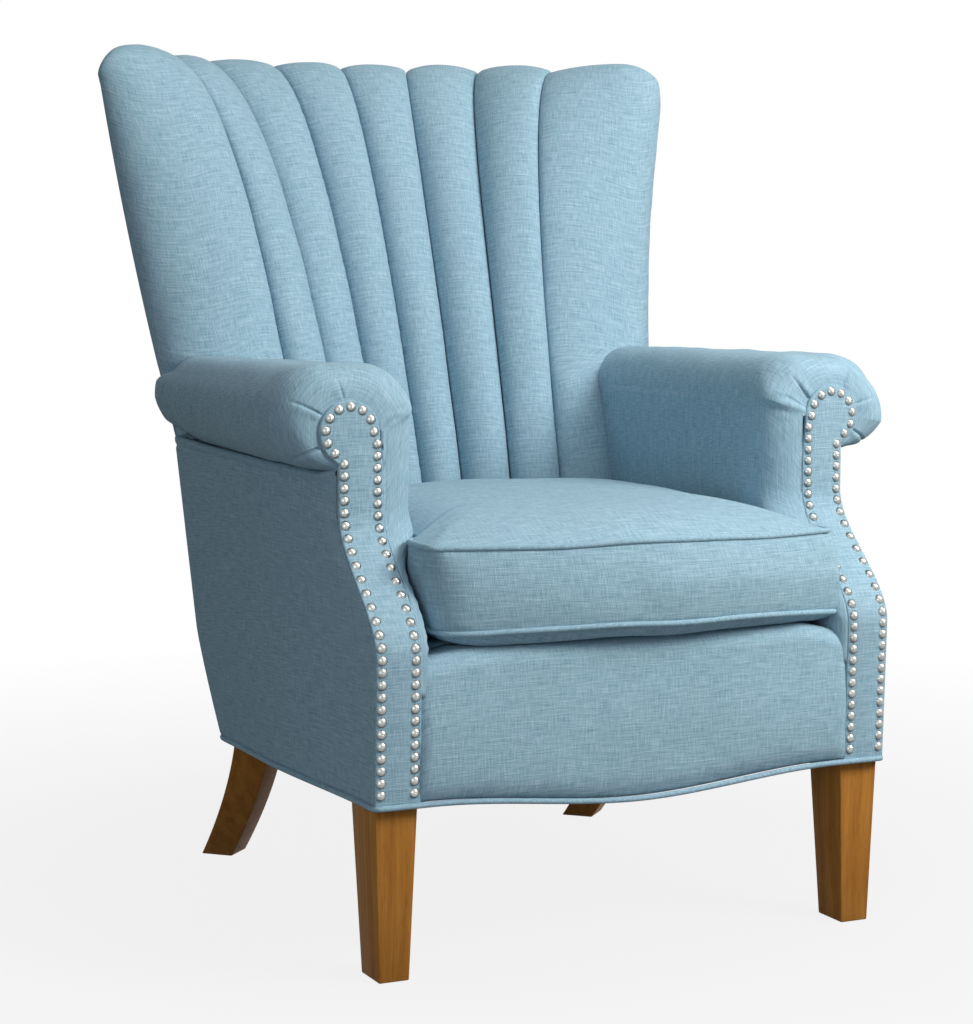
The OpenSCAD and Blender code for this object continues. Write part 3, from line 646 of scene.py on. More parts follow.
class Shader:
    """A short way to write the nodes of a material or of a node group."""

    def __init__(self, tree: bpy.types.NodeTree) -> None:
        """Writes into a node tree."""
        self.tree = tree

    def node(self, kind: str, **values: object) -> bpy.types.Node:
        """Adds a node.

        Args:
            kind: its type, without the ShaderNode in front.
            values: its settings, or values and links of its sockets by name or _number.

        Returns:
            The node.
        """
        made = self.tree.nodes.new("ShaderNode" + kind)
        for key, value in values.items():
            if hasattr(made, key):
                setattr(made, key, value)
                continue
            spot = int(key[1:]) if key[0] == "_" and key[1:].isdigit() else key.replace("_", " ")
            socket = made.inputs[spot]
            if isinstance(value, bpy.types.NodeSocket):
                self.tree.links.new(value, socket)
            else:
                socket.default_value = value
        return made

    def math(self, operation: str, a: object, b: object = 0.0, clamp: bool = False):
        """Output of a Math node."""
        return self.node("Math", operation=operation, _0=a, _1=b, use_clamp=clamp).outputs[0]

    def times(self, a: object, b: object):
        """Product of two values."""
        return self.math("MULTIPLY", a, b)

    def plus(self, a: object, b: object, clamp: bool = False):
        """Sum of two values."""
        return self.math("ADD", a, b, clamp)

    def place(self):
        """The place on the piece."""
        return self.node("TexCoord").outputs["Object"]

    def bump(self, height: object, strength: float, distance: float):
        """Normal of a surface with a height."""
        return self.node("Bump", Strength=strength, Distance=distance, Height=height).outputs[0]

    def wander(self, vector: object, noise: bpy.types.Node, reach: float):
        """The vector, moved sideways by the colour of a noise."""
        return self.node("VectorMath", operation="MULTIPLY_ADD", _0=noise.outputs["Color"],
                         _1=(reach, reach, 0.0), _2=vector).outputs[0]

    def seen(self):
        """One for the rays that show the backdrop: from the camera, off gloss and through glass."""
        path = self.node("LightPath").outputs
        return self.math("MAXIMUM", path["Is Camera Ray"],
                         self.math("MAXIMUM", path["Is Glossy Ray"], path["Is Transmission Ray"]))

    def surface(self, **values: object) -> None:
        """Ends a material with a Principled surface that has the values given."""
        self.node("OutputMaterial", Surface=self.node("BsdfPrincipled", **values).outputs[0])

    def send(self, sink: bpy.types.Node, **values: bpy.types.NodeSocket) -> bpy.types.NodeTree:
        """Links a group's outputs by name, and returns the group."""
        for name, value in values.items():
            self.tree.links.new(value, sink.inputs[name])
        return self.tree

    def noise(self, vector: object, scale: object, detail: float = 2.0, rough: float = 0.5):
        """Value of a noise texture, about 0.5 in the middle."""
        return self.node("TexNoise", Vector=vector, Scale=scale, Detail=detail,
                         Roughness=rough).outputs[0]

    def stretch(self, vector: object, x: float, y: float, z: float = 1.0):
        """The vector scaled along its axes."""
        return self.node("Mapping", Vector=vector, Scale=(x, y, z)).outputs[0]

    def blend(self, share: object, a: object, b: object):
        """Colour a share of the way from a to b."""
        mixed = self.node("Mix", data_type="RGBA")
        for spot, value in ((0, share), (6, a), (7, b)):
            if isinstance(value, bpy.types.NodeSocket):
                self.tree.links.new(value, mixed.inputs[spot])
            else:
                mixed.inputs[spot].default_value = value
        return mixed.outputs[2]

    def spread(self, value: object, low: float, high: float, to_low: float = 0.0,
               to_high: float = 1.0):
        """Value moved from one range to another and held there."""
        return self.node("MapRange", Value=value, From_Min=low, From_Max=high, To_Min=to_low,
                         To_Max=to_high).outputs[0]


def new_group(name: str, inputs: Sequence[tuple[str, str, object]],
              outputs: Sequence[tuple[str, str]]) -> tuple[Shader, bpy.types.Node, bpy.types.Node]:
    """Starts a shader node group.

    Args:
        name: of the group.
        inputs: name, socket kind and default of each input.
        outputs: name and socket kind of each output.

    Returns:
        The writer for its nodes, and its input and output nodes.
    """
    tree = bpy.data.node_groups.new(name, "ShaderNodeTree")
    for label, kind, default in inputs:
        socket = tree.interface.new_socket(label, in_out="INPUT", socket_type="NodeSocket" + kind)
        if default is not None:
            socket.default_value = default
    for label, kind in outputs:
        tree.interface.new_socket(label, in_out="OUTPUT", socket_type="NodeSocket" + kind)
    return Shader(tree), tree.nodes.new("NodeGroupInput"), tree.nodes.new("NodeGroupOutput")


class Effects:
    """The node groups that several finishes share."""

    def __init__(self) -> None:
        """Builds each group once."""
        self.weave = self._weave()
        self.grain = self._grain()
        self.mottle = self._mottle()

    @staticmethod
    def _weave() -> bpy.types.NodeTree:
        """Plain weave with uneven threads, drawn on cloth coordinates in metres."""
        s, source, sink = new_group(
            "Linen weave",
            [("Cloth", "Vector", None), ("Pitch", "Float", 0.0017), ("Slub", "Float", 0.5),
             ("Light", "Color", (0.5, 0.5, 0.5, 1)), ("Dark", "Color", (0.2, 0.2, 0.2, 1))],
            [("Color", "Color"), ("Height", "Float"), ("Lint", "Float")])
        cloth, across = source.outputs["Cloth"], source.outputs["Pitch"]
        shift = s.wander(cloth, s.node("TexNoise", Vector=cloth, Scale=160.0, Detail=2.0), 0.0011)
        pitch = s.node("CombineXYZ", X=across, Y=across, Z=1.0).outputs[0]
        thread = s.node("VectorMath", operation="DIVIDE", _0=shift, _1=pitch).outputs[0]
        split = s.node("SeparateXYZ", Vector=thread).outputs
        warp, weft = (s.math("SINE", s.times(split[n], math.pi)) for n in (0, 1))
        crossing = s.spread(s.times(warp, weft), -0.35, 0.35)
        lift = s.plus(s.times(s.math("ABSOLUTE", warp), crossing),
                      s.times(s.math("ABSOLUTE", weft), s.math("SUBTRACT", 1.0, crossing)))
        warp_run = s.noise(s.stretch(cloth, 560.0, 60.0), 1.0, 2.0, 0.65)
        weft_run = s.noise(s.stretch(cloth, 36.0, 580.0), 1.0, 2.0, 0.65)
        warp_slub = s.spread(s.noise(s.stretch(cloth, 300.0, 16.0), 1.0, 1.0), 0.58, 0.74)
        weft_slub = s.spread(s.noise(s.stretch(cloth, 11.0, 280.0), 1.0, 1.0), 0.55, 0.72)
        slub = s.times(s.plus(s.times(warp_slub, 0.6), weft_slub), source.outputs["Slub"])
        runs = s.plus(s.times(s.spread(warp_run, 0.30, 0.70), 0.40),
                      s.times(s.spread(weft_run, 0.30, 0.70), 0.46))
        tone = s.plus(s.plus(runs, s.times(lift, 0.14)), s.times(slub, 0.20), clamp=True)
        height = s.plus(s.times(lift, 0.6), s.plus(s.times(runs, 0.5), s.times(slub, 0.6)))
        colour = s.blend(tone, source.outputs["Dark"], source.outputs["Light"])
        return s.send(sink, Color=colour, Height=height, Lint=tone)

    @staticmethod
    def _grain() -> bpy.types.NodeTree:
        """Wood grain that runs along Z of the coordinates given, in metres."""
        s, source, sink = new_group(
            "Wood grain",
            [("Place", "Vector", None), ("Light", "Color", (0.5, 0.3, 0.1, 1)),
             ("Dark", "Color", (0.2, 0.1, 0.05, 1)), ("Figure", "Float", 1.0)],
            [("Color", "Color"), ("Height", "Float"), ("Gloss", "Float")])
        place = source.outputs["Place"]
        bend = s.node("TexNoise", Vector=s.stretch(place, 9.0, 9.0, 2.2), Scale=1.0, Detail=2.0)
        along = s.wander(place, bend, 0.016)
        broad = s.noise(s.stretch(along, 75.0, 75.0, 2.4), 1.0, 4.0, 0.6)
        fine = s.noise(s.stretch(along, 620.0, 620.0, 12.0), 1.0, 3.0, 0.6)
        pores = s.spread(s.noise(s.stretch(along, 900.0, 900.0, 38.0), 1.0, 1.0), 0.60, 0.70)
        figure = s.times(s.spread(broad, 0.3, 0.7), source.outputs["Figure"])
        tone = s.plus(s.times(figure, 0.68), s.times(s.spread(fine, 0.25, 0.75), 0.32))
        tone = s.math("SUBTRACT", tone, s.times(pores, 0.22), clamp=True)
        colour = s.blend(tone, source.outputs["Dark"], source.outputs["Light"])
        height = s.math("SUBTRACT", s.times(fine, 0.5), pores)
        return s.send(sink, Color=colour, Height=height, Gloss=pores)

    @staticmethod
    def _mottle() -> bpy.types.NodeTree:
        """Faint broad change of a colour over a piece, as dye and handling leave it."""
        s, source, sink = new_group(
            "Mottle",
            [("Place", "Vector", None), ("Base", "Color", (0.5, 0.5, 0.5, 1)),
             ("Cool", "Color", (0.5, 0.5, 0.5, 1)), ("Size", "Float", 14.0),
             ("Amount", "Float", 0.5)],
            [("Color", "Color"), ("Mask", "Float")])
        broad = s.noise(source.outputs["Place"], source.outputs["Size"], 3.0)
        mask = s.times(s.spread(broad, 0.32, 0.68), source.outputs["Amount"])
        colour = s.blend(mask, source.outputs["Base"], source.outputs["Cool"])
        return s.send(sink, Color=colour, Mask=mask)


@dataclass(frozen=True)
class Finish:
    """What a surface is finished with."""

    name: str
    slot: str

    def shade(self, s: Shader, effects: Effects) -> None:
        """Writes the nodes of the finish."""
        raise NotImplementedError

    def material(self, effects: Effects) -> bpy.types.Material:
        """The finish as a material, made once."""
        made = bpy.data.materials.get(self.name)
        if made is None:
            made = bpy.data.materials.new(self.name)
            made.use_nodes = True
            made.node_tree.nodes.clear()
            self.shade(Shader(made.node_tree), effects)
        return made


@dataclass(frozen=True)
class Linen(Finish):
    """Light blue linen-look upholstery cloth."""

    light: Tone = Tone(0.430, 0.605, 0.700)
    dark: Tone = Tone(0.135, 0.275, 0.360)
    cool: Tone = Tone(0.30, 0.33, 0.52)
    lint: Tone = Tone(0.75, 0.87, 0.95)
    pitch: float = 0.0017
    slub: float = 0.55
    bump: float = 0.0006
    amount: float = 0.32

    def shade(self, s: Shader, effects: Effects) -> None:
        """Writes the weave, its mottle and a soft sheen of lint."""
        cloth = s.node("UVMap", uv_map="UVMap").outputs[0]
        weave = s.node("Group", node_tree=effects.weave, Cloth=cloth, Pitch=self.pitch,
                       Slub=self.slub, Light=self.light.rgba(), Dark=self.dark.rgba()).outputs
        cool = s.blend(0.16, weave["Color"], self.cool.rgba())
        mottle = s.node("Group", node_tree=effects.mottle, Place=s.place(), Cool=cool,
                        Base=weave["Color"], Size=13.0, Amount=self.amount)
        s.surface(Base_Color=mottle.outputs["Color"],
                  Normal=s.bump(weave["Height"], 0.55, self.bump),
                  Roughness=s.spread(weave["Lint"], 0.0, 1.0, 0.93, 0.80), Sheen_Weight=0.10,
                  Sheen_Roughness=0.45, Sheen_Tint=self.lint.rgba(), Specular_IOR_Level=0.10)


@dataclass(frozen=True)
class Wood(Finish):
    """Lacquered or bare wood, with its grain along the piece's upright."""

    light: Tone = Tone(0.56, 0.255, 0.055)
    dark: Tone = Tone(0.26, 0.098, 0.018)
    rough: float = 0.42
    lacquer: float = 0.015
    along: tuple[float, float, float] = (0.0, 0.0, 0.0)

    def shade(self, s: Shader, effects: Effects) -> None:
        """Writes the grain under its lacquer."""
        turned = s.node("Mapping", Vector=s.place(), Rotation=self.along).outputs[0]
        grain = s.node("Group", node_tree=effects.grain, Place=turned, Figure=1.0,
                       Light=self.light.rgba(), Dark=self.dark.rgba()).outputs
        mottle = s.node("Group", node_tree=effects.mottle, Place=s.place(), Base=grain["Color"],
                        Cool=self.dark.rgba(1.25), Size=16.0, Amount=0.35)
        rough = s.spread(grain["Gloss"], 0.0, 1.0, self.rough, self.rough + 0.2)
        s.surface(Base_Color=mottle.outputs["Color"], Normal=s.bump(grain["Height"], 0.35, 0.0002),
                  Roughness=rough, Coat_Weight=self.lacquer, Coat_Roughness=0.22,
                  Specular_IOR_Level=0.02)


@dataclass(frozen=True)
class Metal(Finish):
    """Satin metal, slightly uneven."""

    base: Tone = Tone(0.47, 0.49, 0.47)
    tarnish: Tone = Tone(0.19, 0.205, 0.19)
    rough: float = 0.27
    tarnished: float = 0.45
    rim_patina_and_shade: float = 0.0

    def shade(self, s: Shader, effects: Effects) -> None:
        """Writes the metal with tarnish in patches, and patina round the rims with painted shade
        that is darkest on the lower side.
        """
        facing = s.node("SeparateXYZ", Vector=s.node("TexCoord").outputs["Normal"]).outputs
        # Painted shade over some patina: the rims darken by the way they face, most on the lower
        # side, towards a dark tarnish tone.
        steep = s.math("SUBTRACT", facing["Y"], s.times(facing["Z"], 0.35))
        rim = s.times(s.spread(steep, -0.85, -0.15), self.rim_patina_and_shade)
        mottle = s.node("Group", node_tree=effects.mottle, Place=s.place(), Base=self.base.rgba(),
                        Cool=self.tarnish.rgba(), Size=95.0, Amount=self.tarnished).outputs
        rough = s.spread(mottle["Mask"], 0.0, 1.0, self.rough, self.rough + 0.22)
        colour = s.blend(rim, mottle["Color"], self.tarnish.rgba(0.25))
        s.surface(Base_Color=colour, Roughness=rough, Metallic=1.0,
                  Normal=s.bump(s.noise(s.place(), 900.0), 0.12, 0.0003))


@dataclass(frozen=True)
class Coarse(Finish):
    """Plain hidden cloth, such as burlap or cambric, drawn on the piece's own place."""

    light: Tone = Tone(0.50, 0.39, 0.25)
    dark: Tone = Tone(0.22, 0.16, 0.09)
    pitch: float = 0.0030

    def shade(self, s: Shader, effects: Effects) -> None:
        """Writes an open weave."""
        weave = s.node("Group", node_tree=effects.weave, Cloth=s.place(), Pitch=self.pitch,
                       Slub=0.4, Light=self.light.rgba(), Dark=self.dark.rgba()).outputs
        s.surface(Base_Color=weave["Color"], Normal=s.bump(weave["Height"], 0.5, 0.0006),
                  Roughness=s.spread(weave["Lint"], 0.0, 1.0, 0.96, 0.86))


LINEN = Linen("Blue linen", "linen_fabric")
OUTSIDE_LINEN = Linen("Blue linen outside", "outside_fabric", amount=0.35)
WELT_LINEN = Linen("Blue linen welt", "welt_fabric", pitch=0.0013, slub=0.35, bump=0.0004)
WALNUT = Wood("Honey walnut", "walnut_legs")
BEECH = Wood("Planed beech", "beech_frame", light=Tone(0.60, 0.42, 0.25),
             dark=Tone(0.42, 0.27, 0.14), rough=0.6, lacquer=0.0)
BEECH_LONG = replace(BEECH, name="Planed beech lengthways", along=(math.pi / 2, 0.0, 0.0))
BEECH_CROSS = replace(BEECH, name="Planed beech crossways", along=(0.0, math.pi / 2, 0.0))
PEWTER = Metal("Pewter nail", "nail_heads", rim_patina_and_shade=0.9)
ZINC = Metal("Zinc plate", "steel_parts", base=Tone(0.50, 0.51, 0.53), rough=0.35)
WIRE = Metal("Oiled wire", "spring_wire", base=Tone(0.20, 0.205, 0.21),
             tarnish=Tone(0.10, 0.10, 0.10), rough=0.33)
BURLAP = Coarse("Burlap", "hidden_padding")
DECK_CLOTH = Coarse("Deck cloth", "hidden_padding", light=Tone(0.36, 0.52, 0.60),
                    dark=Tone(0.18, 0.31, 0.38), pitch=0.0016)
CAMBRIC = Coarse("Black cambric", "dust_cover", light=Tone(0.030, 0.031, 0.034),
                 dark=Tone(0.010, 0.010, 0.012), pitch=0.0012)


class Workshop:
    """Gives each piece its finish, body and the nodes that it stands for."""

    def __init__(self, frame: dict) -> None:
        """Keeps the loaded frame and builds the shared effects."""
        self.frame = frame
        self.effects = Effects()

    def fit(self, piece: bpy.types.Object, finish: Finish, nodes: Iterable[str],
            body: Body = Body.CHAIR) -> bpy.types.Object:
        """Fits a new piece over the nodes that it stands for.

        Args:
            piece: the new object.
            finish: its finish.
            nodes: the nodes that it replaces.
            body: what it moves with.

        Returns:
            The piece.
        """
        piece.data.materials.clear()
        piece.data.materials.append(finish.material(self.effects))
        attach(piece, body.value)
        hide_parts(*nodes)
        LOG.info("%s stands for %s", piece.name, ", ".join(nodes))
        return piece

    def finish_node(self, node: str, finish: Finish) -> None:
        """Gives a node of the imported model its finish."""
        data = self.frame["nodes"][node].data
        data.materials.clear()
        data.materials.append(finish.material(self.effects))
        LOG.info("%s keeps its solid, in %s", node, finish.name)


@dataclass
class ChannelBack:
    """The inside back: six channels and two wings, fanned out and rolled over the top."""

    lines: ChairLines
    seam_play: float = 0.00035
    columns: int = 34
    softness: float = 0.0011
    wing_columns: int = 60
    left_peak: float = 0.66
    right_peak: float = 0.42
    left_round: float = 2.2
    right_round: float = 1.95
    wing_swell: float = 1.25
    crest_swell: float = 0.9
    left_bulge: float = 0.016
    left_sink: float = 0.005

    def steps(self) -> np.ndarray:
        """Places along a seam, close together where it turns over the top."""
        return spans((self.lines.low_t, 0.90, 84), (0.90, 2.0, 46), (2.0, 2.33, 7))

    @staticmethod
    def pillow(s: np.ndarray) -> np.ndarray:
        """Round section of a channel, steep at both seams."""
        return (1 - np.abs(2 * s - 1) ** 2.1) ** 0.54

    def ring(self, k: int, t: float) -> np.ndarray:
        """Section of channel k at a place along it."""
        width = np.linalg.norm(self.lines.seam(k + 1, t) - self.lines.seam(k, t))
        inset = self.seam_play / width
        fan = cosine_fan(self.columns)
        s = lerp(inset, 1 - inset, fan)
        base, out = self.lines.between(k, t, s), self.lines.out_at(k, t, s)
        front = base + out * (self.lines.swell_at(t) * self.pillow(fan))[:, None]
        depth = np.concatenate([np.linspace(0.25, 1, 4), np.ones(7), np.linspace(1, 0.25, 4)])
        share = np.concatenate([np.full(4, s[-1]), np.linspace(s[-1], s[0], 9)[1:-1],
                                np.full(4, s[0])])
        return np.concatenate([front, self.rear(k, t, share, depth)])

    def rear(self, k: int, t: float, share: np.ndarray, depth: np.ndarray) -> np.ndarray:
        """Rear of a section, at shares from seam to seam and shares of the padding's depth."""
        out = self.lines.out_at(k, t, share)
        return self.lines.between(k, t, share) - out * (self.lines.size.pad * depth)[:, None]

    def channel(self, k: int, side: Side, name: str) -> bpy.types.Object:
        """One channel, counted from the middle of the back."""
        grid = Grid(np.array([self.ring(k, t) for t in self.steps()]))
        middle = np.zeros(grid.points.shape[1])
        middle[:self.columns] = self.pillow(cosine_fan(self.columns))
        broad = Ripple(10 + k + 7 * side.value, 0.13)(grid.points) * self.softness
        along = grid.grain(0)[:, :-1, 1]
        pucker = np.sin(along * 2 * math.pi / 0.021 + 2.2 * Ripple(40 + k, 0.09)(grid.points))
        near = np.exp(-((middle - 0.45) / 0.22) ** 2)
        grid = grid.push(broad * middle + pucker * near * 0.00035 * (middle > 0))
        return grid.skin(name, self.columns // 2, side)

    def wing_ring(self, t: float, side: Side) -> np.ndarray:
        """Section of a wing: from the seam, over its face and round its edge."""
        lines, peak, blunt, left = self.lines, self.right_peak, self.right_round, 0.0
        if side is Side.LEFT:
            peak, blunt, left = self.left_peak, self.left_round, 1.0
        a, b = lines.seam(3, t), lines.seam(4, t)
        inset = self.seam_play / np.linalg.norm(b - a)
        back = lines.outer_line(4, min(b[2], lines.rim_z)) - b
        turn = np.linspace(-1, 0.985, self.wing_columns)
        angle = turn * math.pi / 2
        inner, fat = turn < 0, 2 / blunt
        reach = np.abs(np.sin(angle)) ** np.where(inner, 1.0, fat)
        s = np.where(inner, lerp(peak, inset, reach), lerp(peak, 1.0, reach))
        lift = np.where(inner, (1 - reach ** 2.0) ** 0.56, np.cos(angle) ** fat)
        bulge = left * self.left_bulge * (1 - ease((t - 0.75) / 0.6)) * ease((t - 0.2) / 0.6)
        sink = left * self.left_sink * ease((t - 0.6) / 0.4) * ease((2 - t) / 0.6)
        swell = lines.swell_at(t) * lerp(self.wing_swell, self.crest_swell, ease((t - 0.8) / 0.5))
        aside = np.where(inner, 0.0, np.sin(math.pi * turn ** 2))
        fall = np.where(inner, 0.0, 1 - np.cos(angle) ** fat)
        front = (lines.between(3, t, s) + lines.out_at(3, t, s) * (swell * lift)[:, None]
                 + back * fall[:, None] + unit(b - a) * (bulge * aside)[:, None])
        front[:, 2] -= sink * lift
        depth = np.concatenate([np.full(9, 1.0), np.linspace(1, 0.25, 4)])
        share = np.concatenate([np.linspace(0.86, s[0], 9), np.full(4, s[0])])
        return np.concatenate([front, self.rear(3, t, share, depth)])

    def wing(self, side: Side) -> bpy.types.Object:
        """One wing, the outermost panel of the back."""
        grid = Grid(np.array([self.wing_ring(t, side) for t in self.steps()]))
        face = soft_mask(grid.points.shape[1], 4, self.wing_columns - 5, 5)
        seed = side.value
        grid = grid.push(face * unevenness(grid.points, (71 + seed, 0.20, 1.6),
                                           (75 + seed, 0.07, 0.5)))
        return grid.skin(f"{side.word}_wing", self.wing_columns // 2, side)

    def build(self, shop: Workshop) -> None:
        """Makes the six channels and the two wings."""
        for number in range(1, 7):
            side = Side.RIGHT if number <= 3 else Side.LEFT
            k = 3 - number if number <= 3 else number - 4
            piece = self.channel(k, side, f"channel_{number}")
            shop.fit(piece, LINEN, [f"back_channel_{number}"])
        for side in Side:
            shop.fit(self.wing(side), LINEN, [f"{side.word}_wing_pad"])
        shop.finish_node("back_liner", BURLAP)


@dataclass(frozen=True)
class Pleat:
    """A fold that runs out from the facing's head over the front of the arm roll."""

    at: float
    reach: float
    depth: float
    curl: float


@dataclass
class RolledArms:
    """The inside arms with their scroll rolls, pleated round the facing at the front."""

    lines: ChairLines
    wall_columns: int = 46
    roll_columns: int = 200
    tuck_columns: int = 10
    dome_rows: int = 34
    body_rows: int = 64
    shoulder_r: float = 0.05
    wall_gap: float = 0.0010
    roll_gap: float = 0.004
    wall_dome: float = 0.030
    roll_dome: float = 0.050
    dome_power: float = 1.3
    head_sweep: tuple[float, float] = (180, -58)
    ear_z: float = 0.448
    ear_rise: float = 0.055
    ear_run: float = 0.056
    ear_in: float = 0.0115
    ear_r: tuple[float, float] = (0.014, 0.040)
    point: float = 0.013
    point_at: float = 0.78
    point_half: float = 0.17
    gather_pitch: float = 0.0125
    gather_depth: float = 0.0009
    gather_at: float = 0.020
    gather_run: float = 0.018
    groove_w: float = 0.0012
    lip_at: float = 0.0042
    lip_w: float = 0.0040
    lip_share: float = 0.45
    left_pleats: tuple[Pleat, ...] = (
        Pleat(0.134, 0.036, 0.0040, 0.03), Pleat(0.48, 0.032, 0.0036, -0.03),
        Pleat(0.67, 0.030, 0.0020, 0.02), Pleat(0.88, 0.050, 0.0040, 0.0))
    right_pleats: tuple[Pleat, ...] = (
        Pleat(0.20, 0.026, 0.0024, 0.0), Pleat(0.40, 0.026, 0.0024, 0.0),
        Pleat(0.61, 0.040, 0.0036, 0.02), Pleat(0.853, 0.050, 0.0045, 0.03))

    def facing_loop(self) -> np.ndarray:
        """Edge of the facing, across and up, from its inner foot round its head."""
        size, lines = self.lines.size, self.lines
        (hx, hz), r = lines.head, size.head_r
        wall = np.linspace(lines.arm_foot_z, hz, self.wall_columns)
        inner = np.stack([lines.facing_in(wall), wall], axis=1)
        angle = np.radians(np.linspace(*self.head_sweep, self.roll_columns + 1)[1:])
        head = np.stack([hx + r * np.cos(angle), hz + r * np.sin(angle)], axis=1)
        low = np.linspace(head[-1, 1] - 0.002, lines.neck_z + 0.001, self.tuck_columns)
        outer = np.stack([np.full_like(low, size.body_w / 2 - 0.001), low], axis=1)
        return np.concatenate([inner, head, outer]) + np.array((0.001, 0.0))

    def wall_x(self, y: np.ndarray, z: np.ndarray) -> np.ndarray:
        """Inner face of the arm, which follows the facing down in front of the cushion."""
        lines = self.lines
        upper = ease((z - self.ear_z) / self.ear_rise)
        ear = ease((y - lines.arm_front_y + 0.034) / self.ear_run)
        low = lerp(lines.facing_inner_x - self.ear_in, lines.arm_in(y), ear)
        base = lerp(low, lines.arm_in(y), upper)
        radius = lerp(*self.ear_r, upper)
        back = y - lines.facing_y(z) - 0.0012
        return base + (lines.facing_inner_x - base) * round_in(back, radius)

    def roll_loop(self, y: float) -> np.ndarray:
        """Section of the arm, across and up, from the deck over the roll to the tuck."""
        size, lines = self.lines.size, self.lines
        x0, (cx, cz, r) = float(lines.arm_in(y)), lines.roll(y)
        arc, top, post = self.shoulder_r, cz + r, size.arm_span / 2 - size.roll_r
        wall = np.linspace(lines.arm_foot_z, top - arc, self.wall_columns)
        inner = np.stack([np.full_like(wall, x0), wall], axis=1)
        first = np.radians(np.linspace(180, 90, 30))
        last = np.linspace(math.pi / 2, -math.acos((post - cx) / r), 60)
        path = np.concatenate([
            np.stack([x0 + arc + arc * np.cos(first), top - arc + arc * np.sin(first)], 1),
            np.stack([cx + r * np.cos(last), cz + r * np.sin(last)], 1)])
        length = arc_length(path)
        at = np.linspace(0, length[-1], self.roll_columns + 1)[1:]
        roll = np.stack([np.interp(at, length, path[:, d]) for d in (0, 1)], axis=1)
        run = (post - cx) / (size.roll_taper - size.roll_fall / 2)
        out = np.clip((roll[:, 0] - cx) / r, 0, 1)
        roll[:, 0] -= run * out * (0.0055 + 0.008 * np.clip((cz - roll[:, 1]) / r, 0, 1))
        low = float(lines.tuck_z(y))
        tuck = np.stack([np.linspace(post - 0.001, size.body_w / 2 - 0.0045, self.tuck_columns),
                         np.linspace(low, low + 0.003, self.tuck_columns)], 1)
        return np.concatenate([inner, roll, tuck])

    def rows(self) -> np.ndarray:
        """The arm's grid: the dome round the facing, then the arm back to the wing."""
        lines, n_wall = self.lines, self.wall_columns
        face = self.facing_loop()
        over = ease((np.arange(len(face)) - n_wall) / 24)
        y_face = lines.facing_y(face[:, 1]) + lerp(self.wall_gap, self.roll_gap, over)
        soft = lerp(self.wall_dome, self.roll_dome, over)
        front, made = lines.arm_front_y + self.roll_dome, []
        full = self.roll_loop(front)
        for q in np.linspace(0, 1, self.dome_rows):
            a = math.pi / 2 * q
            y = y_face + soft * (1 - math.cos(a)) ** self.dome_power
            xz = face + (full - face) * math.sin(a)
            xz[:n_wall, 1] = lerp(face[:n_wall, 1], full[:n_wall, 1], ease(q))
            xz[:n_wall, 0] = self.wall_x(y[:n_wall], xz[:n_wall, 1])
            made.append(np.stack([xz[:, 0], y, xz[:, 1]], axis=1))
        last = self.roll_loop(lines.arm_rear_y)
        y_rear = np.array([lines.wing_front_y(x, z) for x, z in last]) + 0.004
        beyond = ease((last[:, 0] - lines.wing_x(last[:, 1]) + 0.006) / 0.012)
        beyond[:n_wall + 20] = 0
        beyond[-self.tuck_columns:] = 1
        y_rear = lerp(y_rear, lines.side_edge_y(last[:, 1]) - 0.001, beyond)
        for f in np.linspace(0, 1, self.body_rows)[1:]:
            y = lerp(y_face + soft, y_rear, f)
            section = self.roll_loop(lerp(front, lines.arm_rear_y, f))
            section[:n_wall, 0] = self.wall_x(y[:n_wall], section[:n_wall, 1])
            made.append(np.stack([section[:, 0], y, section[:, 1]], axis=1))
        return np.array(made)

    def inner_rows(self, outside: np.ndarray) -> np.ndarray:
        """Lines each section behind the cover, where the wood of the arm stands."""
        lines, n_wall, cols = self.lines, self.wall_columns, outside.shape[1]
        x0, x1 = lines.facing_inner_x + 0.0037, lines.size.body_w / 2 - 0.0050
        low, top, foot = lines.arm_foot_z, lines.neck_z + 0.0533, lines.neck_z + 0.006
        corners = np.array(((x0, low), (x0, top), (x1, top), (x1, foot)))
        at = np.append(np.linspace(0, 1, n_wall), np.linspace(1, 3, cols - n_wall + 1)[1:])
        line = np.stack([np.interp(at, range(4), corners[:, d]) for d in (0, 1)], axis=1)
        y = np.maximum(outside[:, :, 1], lines.facing_y(line[:, 1]) + 0.0075)
        y = np.minimum(y, outside[:, :, 1] + 0.02)
        xz = np.broadcast_to(line, (len(outside), cols, 2))
        return np.stack([xz[..., 0], y, xz[..., 1]], axis=2)

    def pleat_depth(self, grid: Grid, pleats: Sequence[Pleat]) -> np.ndarray:
        """How far the pleats draw the cover in, for each point."""
        rows, cols = grid.points.shape[:2]
        share = (np.arange(cols) - self.wall_columns) / self.roll_columns
        along = grid.grain(0)[:, :cols, 1]
        around = 2 * math.pi * self.lines.size.head_r * 0.66
        total = np.zeros((rows, cols))
        for p in pleats:
            off = (share[None, :] - p.at - p.curl * (along / 0.05) ** 1.5) * (around + along * 1.6)
            fall = np.clip(1 - along / p.reach, 0, 1) ** 0.8 * ease(along / 0.003)
            groove = -np.exp(-(off / self.groove_w) ** 2)
            lip = self.lip_share * np.exp(-((off - self.lip_at) / self.lip_w) ** 2)
            total += p.depth * fall * (groove + lip)
        return total

